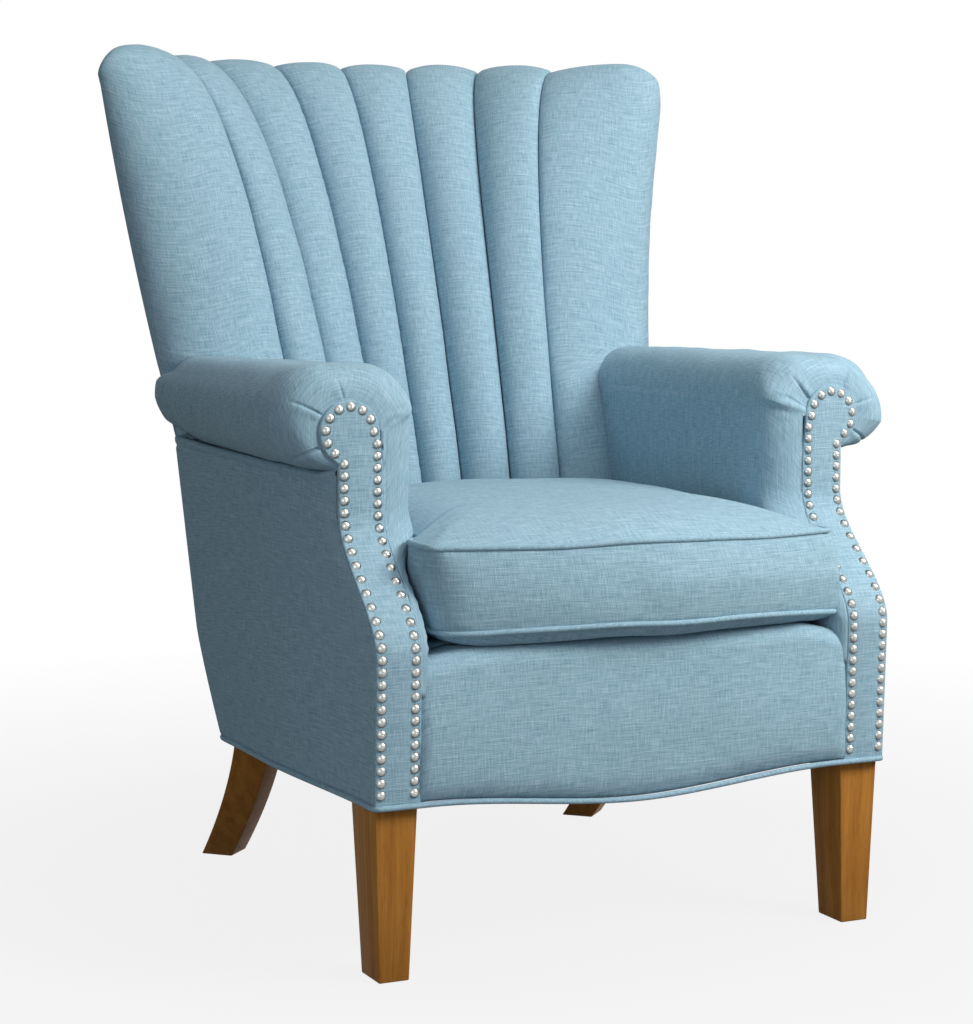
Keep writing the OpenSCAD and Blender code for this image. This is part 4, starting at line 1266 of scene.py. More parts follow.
    def arm(self, side: Side) -> bpy.types.Object:
        """One inside arm."""
        outside = self.rows()
        cols = outside.shape[1]
        grid = Grid(np.concatenate([outside, self.inner_rows(outside)[:, ::-1]], axis=1))
        cover = soft_mask(grid.points.shape[1], 3, cols - 8, 7)
        along = grid.grain(0)[:, :-1, 1]
        broad = unevenness(grid.points, (81 + side.value, 0.16, 1.5), (85 + side.value, 0.055, 0.5))
        wall = np.zeros(grid.points.shape[1])
        wall[:self.wall_columns + 12] = 1.0
        gathers = (np.sin(grid.points[..., 2] * 2 * math.pi / self.gather_pitch
                          + 3.0 * Ripple(91 + side.value, 0.06)(grid.points))
                   * self.gather_depth
                   * np.exp(-((along - self.gather_at) / self.gather_run) ** 2) * wall)
        pleats = self.left_pleats if side is Side.LEFT else self.right_pleats
        folds = self.pleat_depth(grid, pleats)
        if side is Side.LEFT:
            share = (np.arange(grid.points.shape[1]) - self.wall_columns) / self.roll_columns
            corner = np.clip(1 - np.abs(share - self.point_at) / self.point_half, 0, 1)
            folds += self.point * corner * ease(along / 0.035) * (1 - ease((along - 0.05) / 0.11))
        folds[:, cols:] = 0
        grid = grid.push(broad * cover * ease(along / 0.05) + gathers + folds)
        grid.points = grid.points[:, ::-1]
        return grid.skin(f"{side.word}_arm", 2 * cols - self.wall_columns - 45, side, Caps.ZIP)

    def build(self, shop: Workshop) -> None:
        """Makes both arms."""
        for side in Side:
            shop.fit(self.arm(side), LINEN, [f"{side.word}_arm_pad"])


@dataclass
class ArmFacings:
    """The swept facings that cover the fronts of the arms, edged with nails."""

    lines: ChairLines
    thick: float = 0.006
    edge_r: float = 0.0022
    puff: float = 0.0012
    columns: int = 30

    def edges(self, z: float) -> tuple[float, float]:
        """Inner and outer edge of the facing at a height."""
        lines, size = self.lines, self.lines.size
        hx, hz = lines.head
        half = math.sqrt(max(size.head_r ** 2 - (z - hz) ** 2, 1e-8))
        if z > hz:
            return hx - half, hx + half
        post, head = size.body_w / 2, hx + half
        outer = (post + head + math.hypot(post - head, 0.002)) / 2 - 0.0005
        return float(lines.facing_in(z)), outer

    def levels(self) -> np.ndarray:
        """Heights of the rows, close together at the foot and round the head."""
        foot, (_, hz) = self.lines.size.body_z, self.lines.head
        low = foot + np.array((0.0, 0.0008, 0.002, 0.0035, 0.0055))
        shaft = np.linspace(foot + 0.008, hz, 128)
        head = hz + self.lines.size.head_r * np.sin(np.radians(np.linspace(0, 88.5, 30)[1:]))
        return np.concatenate([low, shaft, head])

    def facing(self, side: Side) -> bpy.types.Object:
        """One facing: a padded board with soft edges that follows the sweep."""
        levels = self.levels()
        edges = np.array([self.edges(z) for z in levels])
        foot = np.column_stack([np.linspace(*edges[0], 20), np.full(20, levels[0])])
        rim = np.concatenate([np.column_stack([edges[:, 0], levels]),
                              np.column_stack([edges[:, 1], levels]), foot])
        fan = cosine_fan(self.columns)
        rows = []
        for z, (x0, x1) in zip(levels, edges):
            x = lerp(x0, x1, fan)
            place = np.column_stack([x, np.full(len(x), z)])
            near = np.linalg.norm(rim[None] - place[:, None], axis=2).min(axis=1)
            y = (float(self.lines.facing_y(z)) + self.edge_r * round_in(near, self.edge_r)
                 - self.puff * ease(near / 0.024))
            back = float(self.lines.facing_y(z)) + self.thick
            front = np.column_stack([x, y])
            behind = np.column_stack([lerp(x1, x0, np.array((0.0, 0.03, 0.3, 0.7, 0.97, 1.0))),
                                      back - np.array((0.001, 0, 0, 0, 0, 0.001))])
            ring = np.concatenate([front, behind])
            rows.append(np.column_stack([ring, np.full(len(ring), z)]))
        piece = Grid(np.array(rows)).skin(f"{side.word}_facing", self.columns // 2, side)
        lay_upright(piece, 0.6)
        return piece

    def build(self, shop: Workshop) -> None:
        """Makes both facings and finishes the nails."""
        for side in Side:
            shop.fit(self.facing(side), LINEN, [f"{side.word}_arm_facing"])
            shop.finish_node(f"{side.word}_facing_nails", PEWTER)


@dataclass
class OutsideCovers:
    """The tight covers of the outside arms and the outside back."""

    lines: ChairLines
    edge_r: float = 0.004
    front_r: float = 0.0008
    ridge: float = 0.0022
    ridge_at: float = 0.0050
    ridge_w: float = 0.0032
    valley: float = 0.0016
    valley_at: float = 0.0108
    valley_w: float = 0.0022
    top_r: float = 0.003
    foot_r: float = 0.003
    foot_in: float = 0.0008
    back_drop: float = 0.0095

    def outside_arm(self, side: Side) -> bpy.types.Object:
        """The cover of one outside arm, from the facing to the outside back."""
        lines, size = self.lines, self.lines.size
        share = spans((0, 0.03, 8), (0.03, 0.97, 60), (0.97, 1, 8))
        y_top = lerp(float(lines.facing_y(lines.neck_z)) + 0.0063,
                     float(lines.side_edge_y(lines.neck_z)), share)
        top = lines.tuck_z(y_top) - 0.0005 + 0.006 * (1 - ease(share / 0.08))
        rows = []
        for level in spans((0, 0.94, 60), (0.94, 1, 18)):
            z = lerp(size.body_z, top, level)
            y0, y1 = lines.facing_y(z) + 0.0048, lines.side_edge_y(z) - 0.0003
            y = lerp(y0, y1, share)
            step = lines.side_x(y0) - size.body_w / 2
            x = lines.side_x(y) - step * (1 - ease((y - y0) / 0.030))
            x -= self.edge_r * round_in(y1 - y, self.edge_r)
            x -= self.front_r * round_in(y - y0, self.front_r)
            drop = top - z
            x += (self.ridge * (1 - ease((share - 0.86) / 0.12))
                  * np.exp(-((drop - self.ridge_at) / self.ridge_w) ** 2))
            x -= self.valley * np.exp(-((drop - self.valley_at) / self.valley_w) ** 2)
            x -= (self.top_r * round_in(drop, self.top_r)
                  + self.foot_in * round_in(z - size.body_z, self.foot_r))
            x = np.maximum(x, lines.side_x(y) - size.skin + 0.0008)
            back = slice(None, None, -4)
            rows.append(np.concatenate([np.stack([x, y, z], axis=1),
                                        np.stack([lines.side_x(y[back]) - size.skin, y[back],
                                                  z[back]], axis=1)]))
        grid = Grid(np.array(rows))
        face = soft_mask(grid.points.shape[1], 6, len(share) - 6, 9)
        seed = side.value
        grid = grid.push(face * unevenness(grid.points, (101 + seed, 0.24, 1.3),
                                           (111 + seed, 0.09, 0.35)))
        return grid.skin(f"{side.word}_outside_arm_cover", len(share) // 2, side)

    def outside_back(self) -> bpy.types.Object:
        """The cover of the outside back, from side to side."""
        lines, size = self.lines, self.lines.size
        top = lines.rim_z - self.back_drop
        columns = spans((-4, -3.9, 6), (-3.9, 3.9, 110), (3.9, 4, 7))
        rows = []
        for z in spans((size.body_z, top - 0.01, 80), (top - 0.01, top, 8)):
            outer = np.array([lines.outer(u, z) for u in columns])
            along = np.gradient(outer, axis=0)
            out = unit(np.cross(np.array((0.0, 0.0, 1.0)), along))
            out = -out if out[len(out) // 2, 1] < 0 else out
            length = arc_length(outer)
            near = np.minimum(length, length[-1] - length)
            fall = (self.edge_r * round_in(near, self.edge_r)
                    + self.top_r * round_in(top - z, 0.004)
                    + self.foot_in * round_in(z - size.body_z, self.foot_r))
            skin = outer - out * fall[:, None]
            inner = (outer - out * size.skin)[::-3]
            rows.append(np.concatenate([skin, inner]))
        grid = Grid(np.array(rows)[:, ::-1])
        cols = grid.points.shape[1]
        face = soft_mask(cols, cols - len(columns) + 6, cols - 6, 9)
        grid = grid.push(face * unevenness(grid.points, (121, 0.26, 1.6)))
        return grid.skin("outside_back_cover", cols - len(columns) // 2)

    def build(self, shop: Workshop) -> None:
        """Makes the three outside covers."""
        for side in Side:
            shop.fit(self.outside_arm(side), OUTSIDE_LINEN, [f"{side.word}_outside_arm"])
        shop.fit(self.outside_back(), OUTSIDE_LINEN, ["outside_back"])


@dataclass
class FrontBorder:
    """The padded border under the cushion, with its dipping bottom edge."""

    lines: ChairLines
    roll_r: float = 0.022
    end_r: float = 0.014
    end_drop: float = 0.010
    end_run: float = 0.060
    crest_drop: float = 0.007
    bulge: float = 0.006
    foot_in: float = 0.012
    end_in: float = 0.0035
    lap: float = 0.051
    thick: float = 0.006

    def build(self, shop: Workshop) -> None:
        """Makes the border."""
        lines, size = self.lines, self.lines.size
        half = lines.facing_inner_x + 0.0016
        y_face, top = lines.border_y, lines.deck_z + 0.003 - self.crest_drop
        inner = half - self.end_r
        x = np.concatenate([-half + self.end_r * (1 - np.cos(np.radians(np.linspace(0, 90, 12)))),
                            np.linspace(-inner, inner, 120)[1:-1],
                            half - self.end_r * (1 - np.cos(np.radians(np.linspace(90, 0, 12))))])
        near = half - np.abs(x)
        end = round_in(near, self.end_r)
        low = size.body_z - lines.border_dip(x)
        crest = (top - self.end_drop * (1 - ease(near / self.end_run))
                 - (self.roll_r - self.end_drop * 0.5) * end)
        rows = []
        heights = spans((0, 0.06, 6), (0.06, 1, 46))
        for h in heights:
            z = lerp(low, crest - self.roll_r, h)
            swell = (self.bulge * np.sin(math.pi * (0.12 + 0.80 * h))
                     - self.foot_in * round_in(h, 0.18))
            y = y_face - swell * (1 - end) + self.end_in * end
            rows.append(np.stack([x, y, z], axis=1))
        base_y = rows[-1][:, 1]
        for a in np.radians(np.linspace(0, 90, 14)[1:]):
            rows.append(np.stack([x, base_y + self.roll_r * (1 - math.cos(a)),
                                  crest - self.roll_r * (1 - math.sin(a))], axis=1))
        for f in (0.3, 0.65, 1.0):
            rows.append(np.stack([x, lerp(rows[len(heights) + 12][:, 1], y_face + self.lap, f),
                                  crest], axis=1))
        front = np.array(rows)
        back = front + np.array((0.0, self.thick, 0.0))
        back[len(heights) + 4:, :, 2] -= self.thick
        back[len(heights) + 4:, :, 1] -= self.thick
        back[:, :, 1] = np.maximum(back[:, :, 1], front[:, :, 1] + 0.0006)
        loop = np.concatenate([front.transpose(1, 0, 2), back.transpose(1, 0, 2)[:, ::-3]], axis=1)
        grid = Grid(loop)
        face = soft_mask(grid.points.shape[1], 3, len(rows) - 6, 5)
        grid = grid.push(-face * unevenness(grid.points, (131, 0.17, 1.4), (132, 0.06, 0.3)))
        grid.points = grid.points[:, ::-1]
        piece = grid.skin("front_border_cover", 0)
        lay_upright(piece, 1.0)
        shop.fit(piece, LINEN, ["front_border"])


@dataclass
class BottomWelt:
    """The welt round the bottom edge of the body."""

    lines: ChairLines

    def path(self) -> np.ndarray:
        """Middle of the welt, all the way round."""
        lines, size = self.lines, self.lines.size
        r = size.welt_d / 2
        z = size.body_z - r + 0.0018
        front = [(x, lines.border_y + 0.0005, z - float(lines.border_dip(x)))
                 for x in np.linspace(0, lines.facing_inner_x, 24)]
        corner = [(size.body_w / 2 - 0.009, lines.front_y - 0.0005, z),
                  (size.body_w / 2 - 0.0025, lines.front_y + 0.0025, z),
                  (size.body_w / 2, lines.front_y + 0.010, z)]
        rear_y = lines.side_edge_y(size.body_z) - 0.01
        side = [(float(lines.side_x(y)) - 0.0005, y, z)
                for y in np.linspace(lines.front_y + 0.03, rear_y, 12)]
        rear = [(p[0] * 0.994, p[1] - 0.0015, z)
                for p in (lines.outer(u, size.body_z) for u in np.arange(3.85, 0.01, -0.25))]
        middle = [(0.0, lines.outer(0, size.body_z)[1] - 0.0015, z)]
        half = front + corner + side + rear
        other = [(-p[0], p[1], p[2]) for p in reversed(half[1:])]
        return np.array(half + middle + other)

    def build(self, shop: Workshop) -> None:
        """Makes the welt."""
        piece = welt_cord(self.path(), 520, self.lines.size.welt_d, "bottom_welt_cord")
        shop.fit(piece, WELT_LINEN, ["bottom_welt"])


@dataclass
class SeatCushion:
    """The loose boxed cushion, blown up by a cloth simulation between its two welts."""

    lines: ChairLines
    columns: int = 264
    boxing_rows: int = 14
    panel_rows: int = 30
    play: float = 0.0015
    drift: float = 0.007
    twist: float = 0.0045
    cap: float = 0.005
    frames: int = 20
    fullness: float = 0.74
    rear_fall: float = 0.42
    front_lean: float = 0.07
    calm_passes: int = 26
    corner_dip: float = 0.006
    boxing_r: float = 0.036
    cheek: float = 0.004
    overhang: float = 0.004
    deck_front: float = -0.425
    calm_rows: int = 9
    corner_r: float = 0.015
    rear_r: float = 0.030
    lean: float = 0.36
    gather_pitch: float = 0.0085
    gather_depth: float = 0.0009
    gather_reach: float = 0.055
    gather_fade: float = 0.020
    seam_in: float = 0.0042
    rear_in: float = 0.046
    rear_flat: float = 0.155
    rear_deep: float = 0.080
    wave_depth: float = 0.0016
    dip_reach: float = 0.11

    def half_outline(self, inset: float, r: float) -> list[tuple[float, float]]:
        """Left half of the outline, from the middle of the front to the middle of the rear.

        Args:
            inset: distance inside the cushion's outline.
            r: radius of the front corner.
        """
        lines, size = self.lines, self.lines.size
        w = size.cushion_w / 2
        front = -size.depth / 2 - 0.0005
        corner = front + size.front_bow
        rear = lines.rear_y - lines.seam_seat_y[0] - size.channel_swell - self.play - 0.007
        ear, arm_y = lines.arm_front_y - 0.034, lines.arm_front_y + 0.022
        rear_y = rear - self.rear_deep
        rear_x = float(lines.arm_in(rear_y - self.lean * size.boxing_h)) - self.play - self.rear_r
        points = [(x, front + size.front_bow * (x / w) ** 2 + inset)
                  for x in np.linspace(0, w - r, 9)]
        x, y = w - r, corner + r - 0.006
        points += [(x + (r - inset) * math.cos(a), y + (r - inset) * math.sin(a))
                   for a in np.radians((-60, -38, -16, 4))]
        points += [(lerp(w, float(lines.arm_in(y)) - self.play, float(ease(s))) - inset, y)
                   for s, y in ((s, lerp(ear, arm_y, s)) for s in (0.15, 0.35, 0.55, 0.75, 1))]
        points += [(min(float(lines.arm_in(y)) - self.play, rear_x + self.rear_r) - inset, y)
                   for y in (lerp(arm_y, rear_y, s) for s in (0.15, 0.3, 0.45, 0.6, 0.75, 0.9))]
        points += [(rear_x + (self.rear_r - inset) * math.cos(a),
                    rear_y + (0.034 - inset) * math.sin(a))
                   for a in np.radians((12, 36, 60, 80))]
        points += [(x, rear - self.rear_in * float(ease(x / self.rear_flat)) - inset)
                   for x in (0.165, 0.140, 0.115, 0.090, 0.060, 0.030, 0.0)]
        return points

    def outline(self, z: float, inset: float, r: float) -> np.ndarray:
        """Closed outline at a height, with the small twist of a cushion that has been sat on."""
        half = self.lines.size.boxing_h / 2
        middle = round_in(abs(z - self.lines.size.seat_h + half), half) ** 0.5
        left = self.half_outline(inset - self.cheek * middle, self.corner_r)
        right = self.half_outline(inset, r)
        loop = left + [(-x, y) for x, y in reversed(right[1:-1])]
        line = resample(np.array(loop), self.columns)
        size = self.lines.size
        middle = (line[:, 1].min() + line[:, 1].max()) / 2
        rear = line[:, 1].max()
        lean = self.lean * (z - size.seat_h)
        line[:, 1] += lean * ease((line[:, 1] - middle) / (rear - middle))
        forward = ease((-0.30 - line[:, 1]) / 0.10)
        line[:, 1] += self.front_lean * (z - size.seat_h + size.boxing_h) * forward
        up = (z - size.seat_h + size.boxing_h) / size.boxing_h
        line[:, 0] += (self.drift + lerp(self.twist, -self.twist, up)) * forward
        return line

    def ring(self, z: float, inset: float, share: float, r: float) -> np.ndarray:
        """One ring of the cushion, drawn towards the middle by a share and rounder there."""
        line = self.outline(z, inset, r)
        middle = np.array((0.0, (line[:, 1].min() + line[:, 1].max()) / 2))
        reach = line - middle
        half = np.abs(reach).max(axis=0)
        oval = reach / np.linalg.norm(reach / half, axis=1, keepdims=True)
        flat = middle + lerp(reach, oval, 0.85 * (1 - share ** 3)) * share
        place = np.column_stack([line, np.full(len(line), z)])
        wave = Ripple(141, 0.16)(place) * self.wave_depth
        corner = np.linalg.norm(flat - np.array((half[0], line[:, 1].min() + 0.03)), axis=1)
        dip = self.corner_dip * np.exp(-(corner / self.dip_reach) ** 2)
        return np.column_stack([flat, z + wave * share - dip])

    def hang(self, y):
        """How far the under panel hangs down at a depth, in front of the deck."""
        return self.overhang * (1 - ease((y - self.deck_front) / 0.025))

    def grid(self) -> tuple[Grid, int, int]:
        """The cushion before it is blown up, with the rows of its two seams."""
        size, lines = self.lines.size, self.lines
        low, high, seam = size.seat_h - size.boxing_h, size.seat_h, self.seam_in
        under = low - lines.deck_z - 0.0006
        shares = np.sin(np.linspace(0.03, 1, self.panel_rows, endpoint=False) * math.pi / 2)
        rows = []
        for s in shares:
            sunk = 1 - np.clip((s - 0.94) / 0.06, 0, 1) ** 1.6
            row = self.ring(low - under * sunk, seam, s, self.boxing_r)
            row[:, 2] -= sunk * self.hang(row[:, 1])
            rows.append(row)
        first = len(rows)
        rows += [self.ring(lerp(low, high, f), seam * (1 - math.sin(math.pi * f) ** 0.6)
                           - 0.0005 * math.sin(math.pi * f), 1.0,
                           lerp(self.corner_r, self.boxing_r,
                                math.sin(math.pi * min(1 - f, 0.5)) ** 0.6))
                 for f in np.linspace(0, 1, self.boxing_rows)]
        last = len(rows) - 1
        rows += [self.ring(high, seam, s, self.corner_r) for s in shares[::-1]]
        points = np.array(rows)
        for row, s in zip(points[last + 1:], shares[::-1]):
            fall = 1 - self.rear_fall * ease((row[:, 1] + 0.20) / 0.40)
            row[:, 2] += size.crown * self.fullness * (1 - s ** 6) * fall
        return Grid(points), first, last

    def blow_up(self, piece: bpy.types.Object, seams: Sequence[int]) -> None:
        """Runs the cloth simulation, caps what it moves, and applies it.

        Args:
            piece: the cushion.
            seams: the points of the two seams, which stay.
        """
        rest = np.zeros(len(piece.data.vertices) * 3)
        piece.data.vertices.foreach_get("co", rest)
        group = piece.vertex_groups.new(name="seam")
        group.add(list(seams), 1.0, "REPLACE")
        cloth = piece.modifiers.new("Blow up", "CLOTH")
        for name, value in {"quality": 6, "mass": 0.25, "tension_stiffness": 18,
                            "compression_stiffness": 18, "shear_stiffness": 6,
                            "bending_stiffness": 0.35, "use_pressure": True,
                            "uniform_pressure_force": 4.0, "shrink_min": -0.018,
                            "vertex_group_mass": "seam"}.items():
            setattr(cloth.settings, name, value)
        cloth.settings.effector_weights.gravity = 0.0
        cloth.point_cache.frame_start, cloth.point_cache.frame_end = 1, self.frames
        scene = bpy.context.scene
        for number in range(1, self.frames + 1):
            scene.frame_set(number)
        depsgraph = bpy.context.evaluated_depsgraph_get()
        blown = np.zeros_like(rest)
        piece.evaluated_get(depsgraph).to_mesh().vertices.foreach_get("co", blown)
        piece.evaluated_get(depsgraph).to_mesh_clear()
        scene.frame_set(1)
        piece.modifiers.remove(cloth)
        piece.vertex_groups.remove(group)
        move = (blown - rest).reshape(-1, 3)
        length = np.linalg.norm(move, axis=1, keepdims=True)
        LOG.info("the cushion's cloth moved %.1f mm at most", length.max() * 1000)
        cap = np.full((len(rest) // 3 // self.columns, self.columns), self.cap)
        cap[self.panel_rows:-self.panel_rows] *= 0.5
        move *= np.minimum(1.0, cap.reshape(-1, 1) / np.maximum(length, 1e-9))
        move = self.calm(move)
        place = rest.reshape(-1, 3) + move
        floor = self.lines.deck_z + 0.0006
        place[:, 2] = np.maximum(place[:, 2], floor - self.hang(place[:, 1]))
        piece.data.vertices.foreach_set("co", place.astype(np.float32).ravel())
        piece.data.update()

    def calm(self, move: np.ndarray) -> np.ndarray:
        """Takes creases out of the movement, more so in the middle of both panels."""
        rings = move.reshape(-1, self.columns, 3)
        n = self.panel_rows
        for zone in (rings[:n], rings[n:-n], rings[-n:]):
            for _ in range(self.calm_passes):
                zone[1:-1] = (zone[:-2] + 2 * zone[1:-1] + zone[2:]) / 4
                zone[:] = (np.roll(zone, 1, axis=1) + 2 * zone + np.roll(zone, -1, axis=1)) / 4
        for edge, step in ((0, 1), (len(rings) - 1, -1)):
            inner = [edge + step * n for n in range(self.calm_rows)]
            mean = rings[inner[-1]].mean(axis=0)
            for n, row in enumerate(inner):
                rings[row] = lerp(mean, rings[row], float(ease(n / self.calm_rows)))
        return rings.reshape(-1, 3)

    def gather(self, points: np.ndarray, first: int, last: int) -> np.ndarray:
        """Fine gathers beside the seams at the corners of the cushion.

        Args:
            points: the cushion's points, rows by columns.
            first: row of the bottom seam.
            last: row of the top seam.
        """
        out = Grid(points).normals()
        size, front = self.lines.size, points[..., 1].min()
        for row in (first, last):
            step = np.linalg.norm(points - points[row], axis=2)
            run = np.linalg.norm(np.diff(points[row], axis=0, append=points[row][:1]), axis=1)
            arc = np.cumsum(run)
            phase = arc * 2 * math.pi / self.gather_pitch + 2 * np.sin(arc * 90)
            waves = np.sin(phase) * self.gather_depth
            for x in (-size.cushion_w / 2, size.cushion_w / 2):
                near = np.linalg.norm(points[row, :, :2] - np.array((x, front + 0.03)), axis=1)
                share = np.exp(-(near / self.gather_reach) ** 2) * waves
                points = points + out * (share * np.exp(-(step / self.gather_fade) ** 2)
                                         * ease(step / 0.004))[..., None]
        return points

    def build(self, shop: Workshop) -> None:
        """Makes the cushion and its two welts."""
        grid, first, last = self.grid()
        points = grid.points.copy()
        grid.points = self.gather(points, first, last)
        piece = grid.skin("cushion", 0)
        self.lay_cloth(piece, points, first, last)
        seams = [*range(first * self.columns, (first + 1) * self.columns),
                 *range(last * self.columns, (last + 1) * self.columns)]
        self.blow_up(piece, seams)
        shop.fit(piece, LINEN, ["seat_cushion"], Body.CUSHION)
        for row, name in ((points[last], "top"), (points[first], "bottom")):
            outward = unit((row - row.mean(axis=0)) * np.array((1.0, 1.0, 0.0)))
            welt = welt_cord(row + outward * 0.0006, 560, self.lines.size.welt_d,
                             f"cushion_{name}_welt_cord")
            shop.fit(welt, WELT_LINEN, [f"cushion_{name}_welt"], Body.CUSHION)

    @staticmethod
    def lay_cloth(piece: bpy.types.Object, points: np.ndarray, first: int, last: int) -> None:
        """Lays the cloth flat over the panels, and along the boxing.

        Args:
            piece: the cushion.
            points: its points before they moved, rows by columns.
            first: row of the bottom seam.
            last: row of the top seam.
        """
        closed = np.concatenate([points, points[:, :1]], axis=1)
        arc = arc_length(closed[first])
        panel = closed[..., :2]
        boxing = np.stack([np.broadcast_to(arc, closed.shape[:2]), closed[..., 2]], axis=2)
        quads = []
        for i in range(len(closed) - 1):
            cloth = boxing if first <= i < last else panel
            quads.append(np.stack([cloth[i, :-1], cloth[i, 1:], cloth[i + 1, 1:],
                                   cloth[i + 1, :-1]], axis=1))
        uv = np.zeros((len(piece.data.loops), 2), np.float32)
        quads = np.concatenate(quads).reshape(-1, 2)
        uv[:len(quads)] = quads
        piece.data.uv_layers[0].data.foreach_set("uv", uv.ravel())


@dataclass
class SeatDeck:
    """The padded deck under the cushion, over the springs."""

    lines: ChairLines

    def build(self, shop: Workshop) -> None:
        """Makes the deck."""
        lines = self.lines
        low, high = (v[2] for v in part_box("deck_pad"))
        y0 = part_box("deck_pad")[0][1]
        cushion = SeatCushion(lines)
        half = [(x, y) for x, y in cushion.half_outline(0.001, cushion.corner_r) if y > y0 + 0.004]
        loop = [(half[0][0], y0)] + half
        loop += [(-x, y) for x, y in reversed(half[:-1])] + [(-half[0][0], y0)]
        line = np.array(loop)
        middle = line.mean(axis=0)
        rows = []
        r = 0.010
        for inset, z in ((0.004, low), (0.0, low + 0.006), (0.0, lerp(low, high, 0.5)),
                         *((r * (1 - math.cos(a)), high - 0.002 - r * (1 - math.sin(a)))
                           for a in np.radians(np.linspace(0, 90, 7)))):
            reach = np.linalg.norm(line - middle, axis=1, keepdims=True)
            rows.append(np.column_stack([middle + (line - middle) * (1 - inset / reach),
                                         np.full(len(line), z)]))
        edge = rows[-1]
        for s in (0.9, 0.75, 0.55, 0.35, 0.15):
            place = np.append(middle, high - 0.0004) + (edge - np.append(middle, high)) * s
            place[:, 2] = high - 0.0004 - 0.0016 * s ** 3
            rows.append(place)
        piece = Grid(np.array(rows)).skin("deck", 0)
        shop.fit(piece, DECK_CLOTH, ["deck_pad"])


@dataclass
class DustCover:
    """The black cloth stapled under the seat."""

    lines: ChairLines
    sag: float = 0.0035
    rear_half: float = 0.331
    block_w: float = 0.046
    block_d: float = 0.098
    post_d: float = 0.053

    def build(self, shop: Workshop) -> None:
        """Makes the dust cover, and works out the area of its cut."""
        low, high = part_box("dust_cover")
        x_notch = self.lines.facing_inner_x + 0.003
        block_y = float(self.lines.side_edge_y(self.lines.size.body_z + 0.012)) - 0.002
        block_x = x_notch - self.block_w
        y_post = float(self.lines.facing_y(self.lines.size.body_z)) + self.post_d
        xs = np.unique(np.round(np.concatenate([np.linspace(-high[0], high[0], 41),
                                                (-x_notch, x_notch, -block_x, block_x)]), 5))
        share = np.linspace(0, 1, 49)
        u = (4 * min(abs(x) / self.rear_half, 1.0) for x in xs)
        rear = [min(high[1], self.lines.outer(n, self.lines.size.body_z)[1] - 0.010) for n in u]
        mesh = bmesh.new()
        grid = [[mesh.verts.new((x, lerp(low[1], rear[i], s), 0.0)) for s in share]
                for i, x in enumerate(xs)]
        for i in range(len(xs) - 1):
            for j in range(len(share) - 1):
                corners = (grid[i][j], grid[i + 1][j], grid[i + 1][j + 1], grid[i][j + 1])
                x = sum(v.co.x for v in corners) / 4
                y = sum(v.co.y for v in corners) / 4
                at_post = abs(x) > x_notch and y < y_post
                at_block = abs(x) > block_x and block_y < y < block_y + self.block_d
                if not at_post and not at_block:
                    mesh.faces.new(corners[::-1])
        bmesh.ops.delete(mesh, geom=[v for v in mesh.verts if not v.link_faces], context="VERTS")
        area = sum(f.calc_area() for f in mesh.faces)
        for v in mesh.verts:
            across = 1 - (v.co.x / high[0]) ** 2
            deep = 1 - ((v.co.y - (low[1] + high[1]) / 2) / ((high[1] - low[1]) / 2)) ** 2
            v.co.z = high[2] - 0.0012 - self.sag * max(0, across) * max(0, deep)
        data = bpy.data.meshes.new("dust_cover_cloth")
        mesh.to_mesh(data)
        mesh.free()
        piece = add_object("dust_cover_cloth", data)
        thicken = piece.modifiers.new("Thickness", "SOLIDIFY")
        thicken.thickness = 0.0008
        apply_modifiers(piece)
        shop.fit(piece, CAMBRIC, ["dust_cover"])


def clear_selection() -> None:
    """Leaves edit mode and deselects everything."""
    if bpy.context.object and bpy.context.object.mode != "OBJECT":
        bpy.ops.object.mode_set(mode="OBJECT")
    bpy.ops.object.select_all(action="DESELECT")


def choose(piece: bpy.types.Object) -> None:
    """Makes a piece the active one and the only one that is selected."""
    clear_selection()
    bpy.context.view_layer.objects.active = piece
    piece.select_set(True)


def apply_modifiers(piece: bpy.types.Object) -> None:
    """Applies every modifier of a piece."""
    choose(piece)
    for modifier in list(piece.modifiers):
        bpy.ops.object.modifier_apply(modifier=modifier.name)
    clear_selection()


def settle(piece: bpy.types.Object) -> None:
    """Moves a piece's place, turn and scale into its mesh."""
    choose(piece)
    bpy.ops.object.transform_apply(location=True, rotation=True, scale=True)
    clear_selection()


def select_faces(piece: bpy.types.Object, wanted: Callable[[Vector], bool]) -> None:
    """Selects the faces whose middle is wanted, in edit mode.

    Args:
        piece: an object in edit mode.
        wanted: says of a face's middle whether the face is selected.
    """
    mesh = bmesh.from_edit_mesh(piece.data)
    bpy.ops.mesh.select_all(action="DESELECT")
    for face in mesh.faces:
        face.select_set(bool(wanted(face.calc_center_median())))
    bmesh.update_edit_mesh(piece.data)


